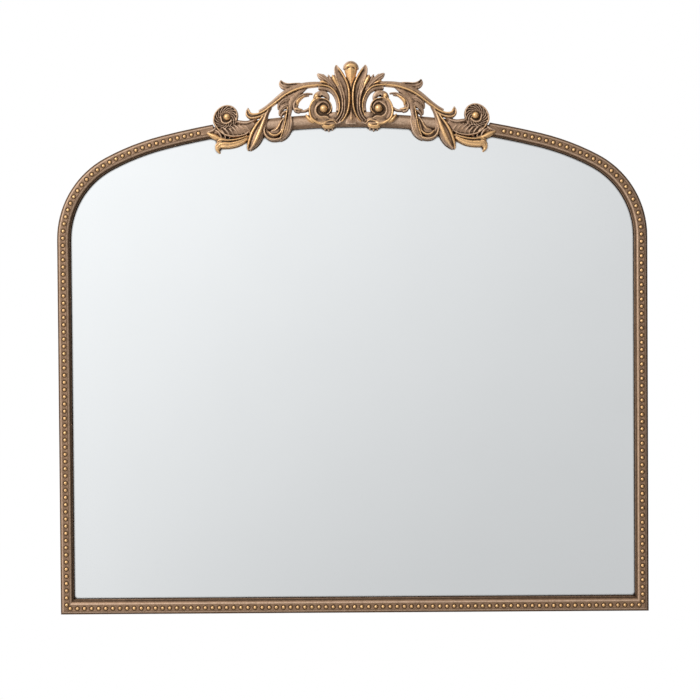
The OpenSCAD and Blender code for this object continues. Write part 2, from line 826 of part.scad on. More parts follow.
module hanger_screws() {
  color("silver") both_sides() at_hanger() for (z = [upper_screw_z, lower_screw_z])
    translate([0, strap_t - pin_h, -z])
      pan_head(hanger_head_r, hanger_head_h, hanger_screw_r, hanger_screw_l);
}

module wall_pads() {
  color("dimgray") both_sides() for (z = [pad_low_h, spring_h - pad_drop])
    at_point([hw - pad_inset, z], -wall_gap) upright() cylinder(h = wall_gap + board_v, r = pad_r);
}

rail_left();
rail_right();
bottom_rail();
crest_bar();
crest_centre();
crest_wing_left();
crest_wing_right();
corner_key_left();
corner_key_right();
splice_key_left();
splice_key_right();
joint_screws();
crest_screws();
mirror_glass();
cushion_sheet();
back_panel();
setting_blocks();
panel_clips();
clip_screws();
hanger_strap_left();
hanger_strap_right();
d_ring_left();
d_ring_right();
hanger_screws();
wall_pads();
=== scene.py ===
import json
import math
import bpy
import bmesh
import numpy as np
from mathutils import Matrix, Vector
from mathutils.kdtree import KDTree

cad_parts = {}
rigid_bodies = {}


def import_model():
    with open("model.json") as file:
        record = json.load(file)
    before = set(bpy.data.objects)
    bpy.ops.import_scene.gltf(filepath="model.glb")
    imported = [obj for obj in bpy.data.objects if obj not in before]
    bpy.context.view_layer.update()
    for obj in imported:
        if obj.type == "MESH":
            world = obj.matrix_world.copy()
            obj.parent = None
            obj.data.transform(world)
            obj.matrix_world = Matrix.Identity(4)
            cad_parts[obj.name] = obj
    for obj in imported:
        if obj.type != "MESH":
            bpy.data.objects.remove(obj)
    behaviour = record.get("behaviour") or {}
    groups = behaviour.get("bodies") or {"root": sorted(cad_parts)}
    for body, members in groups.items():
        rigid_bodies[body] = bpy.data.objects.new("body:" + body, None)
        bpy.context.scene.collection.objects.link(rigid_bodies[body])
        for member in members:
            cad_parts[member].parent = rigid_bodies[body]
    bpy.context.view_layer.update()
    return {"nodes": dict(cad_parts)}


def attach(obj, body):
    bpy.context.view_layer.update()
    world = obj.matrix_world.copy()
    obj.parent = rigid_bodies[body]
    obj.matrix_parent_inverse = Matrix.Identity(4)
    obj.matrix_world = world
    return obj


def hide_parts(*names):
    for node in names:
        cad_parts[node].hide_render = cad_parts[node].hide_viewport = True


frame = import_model()
nodes = frame["nodes"]
scene = bpy.context.scene
mm = 0.001

# the arch, in millimetres, as the part has it
arch = dict(
    halfWidth=508, springHeight=647, cornerRadius=159, cornerSweep=62,
    shoulderRadius=425, shoulderSweep=14, faceWidth=22, wallGap=4,
    landDepth=25, mouldingRadius=13.507, mouldingCentre=12.164,
)
shoulderAngle = arch["cornerSweep"] + arch["shoulderSweep"]
cornerCentre = Vector((arch["halfWidth"] - arch["cornerRadius"], arch["springHeight"]))
reach = arch["shoulderRadius"] - arch["cornerRadius"]
sweepAngle = math.radians(arch["cornerSweep"])
shoulderCentre = cornerCentre - reach * Vector((math.cos(sweepAngle), math.sin(sweepAngle)))
shoulderTurn = math.radians(shoulderAngle)
crownRadius = arch["shoulderRadius"] + shoulderCentre.x / math.cos(shoulderTurn)
crownHeight = shoulderCentre.y - (crownRadius - arch["shoulderRadius"]) * math.sin(shoulderTurn)
bar = dict(halfLength=236, width=18, middle=13, roundRadius=9.2, roundDepth=15.5)
barLineRadius = crownRadius - bar["middle"]
barAngle = math.degrees(math.acos(bar["halfLength"] / barLineRadius))


def barLine(x):
    return crownHeight + math.sqrt(barLineRadius ** 2 - x ** 2)


# materials
def addNode(tree, kind, **settings):
    node = tree.nodes.new(kind)
    for key, value in settings.items():
        if key == "inputs":
            for socket, number in value.items():
                node.inputs[socket].default_value = number
        else:
            setattr(node, key, value)
    return node


def feed(tree, socket, value):
    if isinstance(value, (int, float, tuple)):
        socket.default_value = value
    else:
        tree.links.new(value, socket)


def mathNode(tree, operation, *values):
    node = addNode(tree, "ShaderNodeMath", operation=operation)
    for socket, value in zip(node.inputs, values):
        feed(tree, socket, value)
    return node.outputs[0]


def highestOf(tree, first, *others):
    for other in others:
        first = mathNode(tree, "MAXIMUM", first, other)
    return first


def rangeNode(tree, value, low, high, toLow=0.0, toHigh=1.0, shape="SMOOTHSTEP"):
    node = addNode(tree, "ShaderNodeMapRange", interpolation_type=shape)
    for socket, number in zip(node.inputs, (value, low, high, toLow, toHigh)):
        feed(tree, socket, number)
    return node.outputs[0]


def mixColour(tree, factor, first, second):
    node = addNode(tree, "ShaderNodeMix", data_type="RGBA")
    for index, value in ((0, factor), (6, first), (7, second)):
        feed(tree, node.inputs[index], value)
    return node.outputs[2]


def noiseNode(tree, vector, scale, detail, roughness=0.55):
    node = addNode(tree, "ShaderNodeTexNoise", inputs=dict(Scale=scale, Detail=detail, Roughness=roughness))
    tree.links.new(vector, node.inputs["Vector"])
    return node.outputs["Fac"]


def objectPlace(tree):
    return addNode(tree, "ShaderNodeTexCoord").outputs["Object"]


def alongAxis(tree, axis):
    split = addNode(tree, "ShaderNodeSeparateXYZ")
    tree.links.new(objectPlace(tree), split.inputs[0])
    return split.outputs[axis]


# colours, noise scales, and for each mask: how far the grain breaks it up, its start and its end
patinaLook = dict(
    umber=(0.05, 0.028, 0.016, 1), bronze=(0.235, 0.145, 0.09, 1), pale=(0.5, 0.35, 0.245, 1),
    gold=(0.67, 0.41, 0.19, 1), clouds=70, grain=380, specks=850, dents=240,
    worn=(0.9, 0.1, 0.95), gilt=(1.1, 0.1, 0.9), hollow=(0.6, 0.1, 0.9),
    dullness=0.34, metallic=(0.22, 0.5), roughness=(0.5, 0.4), hollowRoughness=0.25,
    grainRoughness=0.25, grainHeight=0.4,
)


def makePatina(look):
    # painted bronze: pale where edges are rubbed and where a highlight is painted, gold where it was gilded,
    # umber in the hollows and where shade is painted
    group = bpy.data.node_groups.new("Rubbed patina", "ShaderNodeTree")
    masks, colours = ("Worn", "Gilt", "Hollow"), ("Umber", "Bronze", "Pale", "Gold")
    for label in masks:
        group.interface.new_socket(label, in_out="INPUT", socket_type="NodeSocketFloat")
    for label in colours:
        colour = group.interface.new_socket(label, in_out="INPUT", socket_type="NodeSocketColor")
        colour.default_value = look[label.lower()]
    for label in ("Color", "Metallic", "Roughness", "Height"):
        kind = "NodeSocketColor" if label == "Color" else "NodeSocketFloat"
        group.interface.new_socket(label, in_out="OUTPUT", socket_type=kind)
    start = group.nodes.new("NodeGroupInput")
    end = group.nodes.new("NodeGroupOutput")
    place = objectPlace(group)
    clouds = noiseNode(group, place, look["clouds"], detail=4)
    grain = noiseNode(group, place, look["grain"], detail=3)
    specks = noiseNode(group, place, look["specks"], detail=2, roughness=0.6)
    dents = noiseNode(group, place, look["dents"], detail=2)
    offGrain = mathNode(group, "SUBTRACT", grain, 0.5)

    def broken(source):
        amount, low, high = look[source.lower()]
        offset = mathNode(group, "MULTIPLY", offGrain, amount)
        return rangeNode(group, mathNode(group, "ADD", start.outputs[source], offset), low, high)

    worn, gilt, hollow = [broken(label) for label in masks]
    umber, bronze, pale, gold = [start.outputs[label] for label in colours]
    dull = mixColour(group, look["dullness"], bronze, umber)
    base = mixColour(group, rangeNode(group, clouds, 0.3, 0.62), dull, bronze)
    base = mixColour(group, rangeNode(group, specks, 0.5, 0.72, 0, 0.35), base, pale)
    for mask, colour in ((worn, pale), (gilt, gold), (hollow, umber)):
        base = mixColour(group, mask, base, colour)
    rough = mathNode(group, "ADD", rangeNode(group, gilt, 0, 1, *look["roughness"]),
                     rangeNode(group, hollow, 0, 1, 0, look["hollowRoughness"]))
    rough = mathNode(group, "ADD", rough, mathNode(group, "MULTIPLY", offGrain, look["grainRoughness"]))
    height = mathNode(group, "ADD", dents, mathNode(group, "MULTIPLY", grain, look["grainHeight"]))
    metallic = rangeNode(group, gilt, 0, 1, *look["metallic"])
    for socket, value in zip(end.inputs, (base, metallic, rough, height)):
        group.links.new(value, socket)
    return group


def startMaterial(name, **shader):
    material = bpy.data.materials.new(name)
    material.use_nodes = True
    tree = material.node_tree
    principled = tree.nodes["Principled BSDF"]
    for socket, value in shader.items():
        principled.inputs[socket.replace("_", " ")].default_value = value
    return material, tree, principled


def addBump(tree, principled, height, strength, distance):
    bump = addNode(tree, "ShaderNodeBump", inputs=dict(Strength=strength, Distance=distance))
    tree.links.new(height, bump.inputs["Height"])
    tree.links.new(bump.outputs["Normal"], principled.inputs["Normal"])


patina = makePatina(patinaLook)


def bronzeMaterial(name, bronze=None, quirk=None, **masks):
    material, tree, principled = startMaterial(
        name, IOR=1.5, Specular_IOR_Level=0.25, Specular_Tint=(1, 0.8, 0.62, 1))
    group = addNode(tree, "ShaderNodeGroup", node_tree=patina)
    if bronze:
        group.inputs["Bronze"].default_value = bronze
    for socket, source in masks.items():
        tree.links.new(source(tree), group.inputs[socket])
    for label, socket in (("Color", "Base Color"), ("Metallic", "Metallic"), ("Roughness", "Roughness")):
        tree.links.new(group.outputs[label], principled.inputs[socket])
    height = group.outputs["Height"]
    if quirk:
        height = mathNode(tree, "SUBTRACT", height, mathNode(tree, "MULTIPLY", quirk(tree), 1.2))
    addBump(tree, principled, height, strength=0.5, distance=0.0004)
    return material


def depthOf(tree):
    # how far a point stands forward of the frame's back, in millimetres
    forward = mathNode(tree, "MULTIPLY", alongAxis(tree, "Y"), -1 / mm)
    return mathNode(tree, "SUBTRACT", forward, arch["wallGap"])


def offDepth(tree, depth):
    return mathNode(tree, "ABSOLUTE", mathNode(tree, "SUBTRACT", depthOf(tree), depth))


def openness(tree, distance):
    # 1 in the open, less where something stands within the distance
    shade = addNode(tree, "ShaderNodeAmbientOcclusion", samples=12, inputs=dict(Distance=distance))
    return shade.outputs["AO"]


def attributeMask(tree, name, low, high, toLow=0.0, toHigh=1.0):
    attribute = addNode(tree, "ShaderNodeAttribute", attribute_name=name)
    return rangeNode(tree, attribute.outputs["Fac"], low, high, toLow, toHigh)


# depths of the quirks' middle, the edge where a highlight is painted, the flank's top and its foot; then
# each mask's strength
railLook = dict(quirk=24.68, edge=23.9, flankTop=21.3, flankFoot=(20.5, 21.1), flankDark=(0.45, 0.9),
                quirkDark=0.4, collarDark=0.95, edgeWorn=0.65, beadGilt=0.8)


def quirkLine(tree):
    # the narrow sunk line on either side of the beads
    return rangeNode(tree, offDepth(tree, railLook["quirk"]), 0.3, 0.12)


def railHollow(tree):
    # painted shade: umber in the dimples round the beads and in their collars, in the quirks, and down both
    # flanks
    dimple = mathNode(tree, "MULTIPLY", rangeNode(tree, openness(tree, 0.005), 0.985, 0.6),
                      attributeMask(tree, "gilt", 1, 0))
    line = mathNode(tree, "MULTIPLY", quirkLine(tree), railLook["quirkDark"])
    footDark, fullDark = railLook["flankDark"]
    upper = rangeNode(tree, depthOf(tree), railLook["edge"], railLook["flankTop"], 0, fullDark)
    lower = rangeNode(tree, depthOf(tree), *railLook["flankFoot"], footDark, fullDark)
    flank = mathNode(tree, "MINIMUM", upper, lower)
    collar = attributeMask(tree, "foot", 0, 1, 0, railLook["collarDark"])
    return highestOf(tree, flank, collar, dimple, line)


def railWorn(tree):
    # painted highlight: pale along the edges on either side of the beads
    return rangeNode(tree, offDepth(tree, railLook["edge"]), 0.9, 0.2, 0, railLook["edgeWorn"])


def gildedTops(tree):
    # the gilding that was laid, kept on the parts that stand out
    kept = mathNode(tree, "MULTIPLY", attributeMask(tree, "gilt", 0, 1),
                    attributeMask(tree, "ridge", -0.9, 0.5, 0.35, 1))
    return mathNode(tree, "ADD", kept, attributeMask(tree, "lift", 0.45, 1, 0, 0.45))


def plainMetal(name, colour, roughness, scale):
    # zinc with a faint spangle
    material, tree, principled = startMaterial(name, Metallic=1.0)
    place = objectPlace(tree)
    clouds = noiseNode(tree, place, scale, detail=4)
    spangle = addNode(tree, "ShaderNodeTexVoronoi", inputs=dict(Scale=scale * 3))
    tree.links.new(place, spangle.inputs["Vector"])
    darker = tuple(channel * 0.78 for channel in colour[:3]) + (1,)
    shade = mixColour(tree, rangeNode(tree, spangle.outputs["Color"], 0.1, 0.9), darker, colour)
    tree.links.new(mixColour(tree, rangeNode(tree, clouds, 0.3, 0.8, 0, 0.5), shade, darker),
                   principled.inputs["Base Color"])
    tree.links.new(rangeNode(tree, clouds, 0.2, 0.8, roughness - 0.08, roughness + 0.12),
                   principled.inputs["Roughness"])
    addBump(tree, principled, clouds, strength=0.25, distance=0.0002)
    return material


def softMaterial(name, dark, light, roughness, scale, bumpDistance):
    material, tree, principled = startMaterial(name)
    place = objectPlace(tree)
    clouds = noiseNode(tree, place, scale, detail=5)
    grain = noiseNode(tree, place, scale * 9, detail=3)
    blend = mathNode(tree, "ADD", mathNode(tree, "MULTIPLY", clouds, 0.6),
                     mathNode(tree, "MULTIPLY", grain, 0.4))
    tree.links.new(mixColour(tree, rangeNode(tree, blend, 0.35, 0.65), dark, light),
                   principled.inputs["Base Color"])
    tree.links.new(rangeNode(tree, grain, 0.2, 0.8, roughness - 0.1, roughness + 0.1),
                   principled.inputs["Roughness"])
    addBump(tree, principled, grain, strength=0.3, distance=bumpDistance)
    return material


glassLook = dict(silver=(0.9, 0.912, 0.918, 1), bright=(0.93, 0.942, 0.948, 1),
                 edge=(0.075, 0.058, 0.045, 1), edgeWidth=0.006, roughness=(0.015, 0.03))


def mirrorMaterial(look):
    # slightly uneven silver, dark along the edge where it meets the frame: partly a desilvered edge, partly
    # painted shade, which also falls where the crest stands close over the glass
    material, tree, principled = startMaterial("Silvered glass", Metallic=1.0)
    haze = noiseNode(tree, objectPlace(tree), scale=6, detail=3)
    silver = mixColour(tree, haze, look["silver"], look["bright"])
    # painted shade with desilvering: darker wherever the frame or crest stands within the edge width
    clear = rangeNode(tree, openness(tree, look["edgeWidth"]), 0.6, 0.84)
    tree.links.new(mixColour(tree, clear, look["edge"], silver), principled.inputs["Base Color"])
    tree.links.new(rangeNode(tree, haze, 0.2, 0.8, *look["roughness"]), principled.inputs["Roughness"])
    return material


railBronze = bronzeMaterial(
    "Rail bronze", (0.235, 0.14, 0.084, 1), quirkLine, Worn=railWorn, Hollow=railHollow,
    Gilt=lambda tree: attributeMask(tree, "gilt", 0, 1, 0, railLook["beadGilt"]))
# the bar: a painted highlight along its most forward line, and painted shade where other parts stand close
# over it
barBronze = bronzeMaterial(
    "Bar bronze", Worn=lambda tree: rangeNode(tree, depthOf(tree), 22, 24.5, 0, 0.6),
    Hollow=lambda tree: rangeNode(tree, openness(tree, 0.012), 0.7, 0.25))
# the castings: pale on rubbed ridges, gold where gilded, and umber in the concave parts, as patina and as
# painted shade
crestBronze = bronzeMaterial(
    "Crest bronze", (0.27, 0.168, 0.107, 1), Gilt=gildedTops,
    Worn=lambda tree: attributeMask(tree, "ridge", 0.2, 1.3),
    Hollow=lambda tree: attributeMask(tree, "hollow", 0.1, 1.0))
silveredGlass = mirrorMaterial(glassLook)
zincSteel = plainMetal("Zinc plate", (0.62, 0.63, 0.64, 1), roughness=0.38, scale=90)
screwSteel = plainMetal("Screw zinc", (0.55, 0.55, 0.53, 1), roughness=0.3, scale=160)
ringSteel = plainMetal("Ring wire", (0.7, 0.7, 0.71, 1), roughness=0.22, scale=120)
boardFibre = softMaterial("Backing fibreboard", (0.2, 0.13, 0.075, 1), (0.33, 0.22, 0.135, 1),
                          roughness=0.72, scale=60, bumpDistance=0.0002)
foamSheet = softMaterial("Foam sheet", (0.7, 0.7, 0.68, 1), (0.82, 0.82, 0.8, 1),
                         roughness=0.8, scale=200, bumpDistance=0.0002)
padRubber = softMaterial("Pad rubber", (0.02, 0.02, 0.021, 1), (0.045, 0.045, 0.046, 1),
                         roughness=0.7, scale=150, bumpDistance=0.0001)
print("materials ready")

finishes = dict(
    rail_left=railBronze, rail_right=railBronze, bottom_rail=railBronze, crest_bar=barBronze,
    crest_centre=crestBronze, crest_wing_left=crestBronze, crest_wing_right=crestBronze,
    corner_key_left=zincSteel, corner_key_right=zincSteel,
    splice_key_left=zincSteel, splice_key_right=zincSteel,
    joint_screws=screwSteel, crest_screws=screwSteel, mirror_glass=silveredGlass,
    cushion_sheet=foamSheet, back_panel=boardFibre, setting_blocks=padRubber,
    panel_clips=zincSteel, clip_screws=screwSteel,
    hanger_strap_left=zincSteel, hanger_strap_right=zincSteel,
    d_ring_left=ringSteel, d_ring_right=ringSteel, hanger_screws=screwSteel, wall_pads=padRubber,
)
for node, material in finishes.items():
    slots = nodes[node].data.materials
    if len(slots):
        slots[0] = material
    else:
        slots.append(material)

# crest
# reliefs stand above the castings' flat back; a stroke's points are
# [distance from the middle, height over the bar's line, half width], in millimetres
crest = dict(
    backDepth=17, highest=16.7, thinnest=0.6, tipRelief=0.6, split=80, seatGap=0.1, seatSteps=24,
    seatTurns=40, pitDepths=(3, 20), steps=5, voxel=0.82, sharpAngle=60,
)


def placeRound(centre, radius, angle):
    return [centre[0] + radius * math.cos(angle), centre[1] + radius * math.sin(angle)]


def turn(centre, startRadius, endRadius, startAngle, endAngle, widths):
    # an arc as points of a stroke, 30 degrees apart at most
    steps = math.ceil(abs(endAngle - startAngle) / 30)
    points = []
    for index in range(steps + 1):
        share = index / steps
        radius = startRadius + (endRadius - startRadius) * share
        angle = math.radians(startAngle + (endAngle - startAngle) * share)
        points.append(placeRound(centre, radius, angle) + [widths[0] + (widths[1] - widths[0]) * share])
    return points


# cross sections, from the middle of a stroke to its edge, as shares of its relief
profiles = dict(
    round=[1, 0.99, 0.95, 0.87, 0.74, 0.5],
    soft=[1, 1, 0.98, 0.95, 0.9, 0.72],
    valley=[0.85, 0.86, 0.88, 0.92, 0.98, 0.85],
    veined=[1, 0.91, 0.87, 0.88, 0.91, 0.74],
    keeled=[1, 0.95, 0.89, 0.83, 0.76, 0.62],
    fluted=[1, 0.97, 0.92, 0.95, 0.96, 0.89, 0.92, 0.9, 0.7],
    reeded=[1, 0.96, 0.91, 0.97, 0.98, 0.9, 0.91, 0.95, 0.86, 0.84, 0.66],
)

# each stroke: name, relief, cross section, gilding, points
middleStrokes = [
    ("middleBack", 9, "soft", 0, [[0, 70, 4], [0, 56, 7], [0, 40, 6], [0, 24, 6], [0, 10, 5]]),
    ("tongueBody", 13.6, "keeled", 0.7, [[0, 92, 9], [0, 86, 11.5], [0, 77, 9.5], [0, 65, 6], [0, 52, 2.5],
     [0, 44, 1.2]]),
    ("hoodRim", 12, "soft", 0, [[-12, 84, 1.8], [-10, 90, 2.4], [-5, 94, 2.8], [0, 95.2, 2.8], [5, 94, 2.8],
     [10, 90, 2.4], [12, 84, 1.8]]),
    ("hoodLobe", 15.6, "round", 0.7, [[-9.5, 84, 2.2], [-6, 88.5, 4.2], [0, 90, 5], [6, 88.5, 4.2],
     [9.5, 84, 2.2]]),
    ("hoodPoint", 15.6, "round", 0.7, [[0, 90, 5], [0, 85.5, 3.4], [0, 81, 1]]),
    ("footBack", 10.5, "soft", 0, [[0, 26, 1.2], [0, 14, 3.5], [0, 4, 7.5], [0, -5, 10], [0, -10, 9]]),
    ("footLeaf", 13, "keeled", 0.35, [[0, 22, 0.8], [0, 14, 1.6], [0, 6, 3], [0, -1, 4.5], [0, -6, 2]]),
]
palmetteStrokes = [
    ("petalBack", 9.4, "soft", 0, [[26, 68, 3], [21, 55, 5], [18.5, 43, 5], [17.5, 30, 5], [18, 16, 5],
     [22, 6, 4]]),
    ("petal", 13.4, "valley", 0.05, [[25, 92, 1], [24, 85, 5], [19.5, 73, 8], [13.5, 58, 8.5],
     [10.5, 44, 7.5], [9.5, 29, 7], [10.5, 16, 6], [14, 6, 5.5], [20, -3, 4.5], [29, -8, 3]]),
    ("rib", 16.4, "round", 1, [[21, 85, 0.9], [17, 79, 1.5], [11.5, 70, 2], [6.8, 60, 2.1], [4.4, 51, 2.1],
     [3.4, 43, 2.3], [3.2, 34, 2.3], [3.6, 24, 2.1], [5.2, 15, 1.9], [8, 7, 1.6], [12, 0, 1.4],
     [17, -6, 1]]),
    ("reedInner", 13, "round", 0.1, [[20, -4, 1], [15, 2.5, 1.1], [12, 10, 1.3], [10.8, 20, 1.4],
     [11, 32, 1.4], [13, 44, 1.5], [16, 54, 1.6], [19.5, 63, 1.5], [22.5, 72, 1]]),
    ("reedOuter", 13.5, "round", 0.2, [[25, -3, 1.2], [20, 3, 1.3], [16.2, 11, 1.5], [14.6, 21, 1.6],
     [15, 32, 1.6], [17.4, 42, 1.6], [20.5, 50, 1.5], [25, 58, 1.2]]),
    ("goldLobe", 14, "round", 0.8, [[31.5, 75, 1.2], [29.5, 69, 3.8], [25.5, 61, 3.4], [21.5, 52, 2.2],
     [19, 44, 1.2]]),
    ("notch", 11, "keeled", 0.1, [[39, 76, 1], [36, 69, 2.8], [31, 62, 2.6], [26, 54, 2.4]]),
    ("sideLeaf", 12.4, "veined", 0.05, [[57.5, 78, 1.5], [52.5, 73.5, 4.6], [44, 67.5, 5.2], [35.5, 60, 4.4],
     [28, 50, 3.4], [22, 38, 2.6], [19, 27, 2]]),
    ("leafTooth", 10.6, "round", 0.1, [[48, 77, 1], [45, 73, 2.2], [41, 69, 2]]),
    ("underLobe", 13.6, "round", 0.9, [[53, 64.5, 1], [47, 63, 2.2], [41, 60.5, 1.4]]),
    ("stemWall", 12, "soft", 0, [[56, 54, 3.4], [46, 52, 3.3], [37, 49.5, 3.4], [29.5, 43, 3.4],
     [24.5, 33, 3.2], [22.5, 22, 3], [23, 13, 3.4]]),
    ("stemRim", 14.6, "round", 0.9, [[60, 58, 2], [48, 57, 1.9], [39, 55, 1.9], [32, 50.5, 1.8],
     [26, 43, 1.7], [21.5, 33, 1.6], [19.6, 22, 1.5], [20.4, 13, 1.3], [24, 5, 1]]),
    ("pocket", 11.8, "soft", 0, [[21, 11, 2.5], [26, 6.5, 5.5], [32, 5.5, 5.5], [38, 7.5, 3]]),
    ("band", 13.4, "valley", 0.3, [[23, -7, 2], [31, -5, 5], [40, -4, 6]]
     + turn((48.5, 16), 18.5, 15.5, -104, 60, (7, 5)) + turn((48, 17.5), 14.5, 10.5, 84, 235, (4, 1.6))),
    ("bandRim", 13.4, "round", 0.5, [[24, -9.5, 1]] + turn((48, 16), 25, 22, -130, -100, (1.2, 1.4))
     + turn((48.5, 16), 25, 21.5, -96, 66, (1.6, 1.5)) + turn((48, 17.5), 17.5, 12, 84, 235, (1.4, 1.2))),
    ("outerRim", 14.8, "round", 0.9, [[61, 38, 1.3], [66.5, 31, 1.6], [70.3, 22, 1.9], [71, 12, 2.2],
     [68.5, 3, 2.5], [64, -2, 2.6], [58, -6, 2.2], [51, -9, 1.4]]),
    ("rimFloor", 11.8, "soft", 0, [[60, 32, 3], [66, 22, 4], [67, 10, 4], [62, 0, 4], [54, -6, 3]]),
    ("hump", 12.8, "soft", 0, [[39, 31, 1.6], [40.5, 38, 3.8], [46, 43, 5], [53, 43.5, 5], [59.5, 41, 4.2],
     [64, 36, 2]]),
    ("rimLeaf", 13.6, "round", 0.8, [[78, 9.5, 1.2], [74.5, 4, 3.2], [69, -2, 3.4], [64, -5, 2]]),
    ("wrap", 12.4, "keeled", 0.9, [[28, -9, 1.2], [32, -11.5, 3.6], [39, -13, 4.2], [46, -11.5, 4],
     [49, -8, 2]]),
    ("toothInner", 9, "round", 0, [[33, -12, 2.2], [32, -18.5, 1.2]]),
    ("toothMiddle", 9, "round", 0, [[39, -14, 2.4], [38.5, -20.5, 1.3]]),
    ("toothOuter", 9, "round", 0, [[45, -12, 2.2], [45, -19, 1.2]]),
]
joiningStrokes = [
    ("branchBack", 12.6, "soft", 0.05, [[44, 60, 2.6], [56, 60, 4.2], [71, 60, 4.6], [86, 58.5, 4.8],
     [100, 55, 4.6], [114, 49, 4.2], [126, 41, 3.8], [137, 33, 3.4], [148, 26, 3.2], [158, 21.5, 3]]),
    ("branchRidge", 14.2, "round", 0.75, [[52, 57.5, 1.8], [62, 57.5, 2.3], [77, 56.5, 2.5], [93, 53, 2.5],
     [106, 48.5, 2.4], [118, 42, 2.3], [128, 35, 2.2], [139, 28, 2.2], [149, 21.8, 2.2], [159, 18.4, 2.2],
     [168, 18.6, 2.1], [174, 22, 2], [175.5, 28, 1.1]]),
    ("fluteBack", 11.2, "reeded", 0, [[76, 56.5, 2.5], [83, 53, 4.6], [92, 47.5, 6.4], [103, 40, 7.4],
     [112, 32, 7], [117, 24, 5]]),
    ("fluteInner", 12.6, "fluted", 0.1, [[78, 54, 2], [85, 50, 3.4], [92, 45, 4], [99.5, 37, 4.2],
     [103.5, 28, 4], [105, 18, 3.4], [107, 8, 3]]),
    ("budBack", 10.8, "soft", 0, [[72, 42, 1.6], [82, 42, 3], [91, 37, 3.6], [95.5, 28, 3.6],
     [93, 19, 3.6]]),
    ("bud", 12.4, "round", 0.1, [[66, 44, 1.4], [77, 45, 1.8], [87, 41.5, 2], [94.5, 34, 2.2], [98, 25, 2.4],
     [95.5, 16.5, 2.2], [88.5, 13.5, 1.4]]),
    ("budDrop", 14, "round", 0.9, [[79, 41.5, 1], [86.5, 37.5, 2.2], [92, 31.5, 2.8], [91.5, 25.5, 1.4]]),
    ("budLobe", 13, "round", 0.45, [[83.5, 18, 1.4], [89, 18.5, 2.6], [95, 20, 2.6], [99, 23, 1.4]]),
    ("link", 10.6, "round", 0.1, [[92, 16, 2.5], [84, 15.5, 2.2], [78, 16, 2.4], [72, 19, 2.4]]),
]
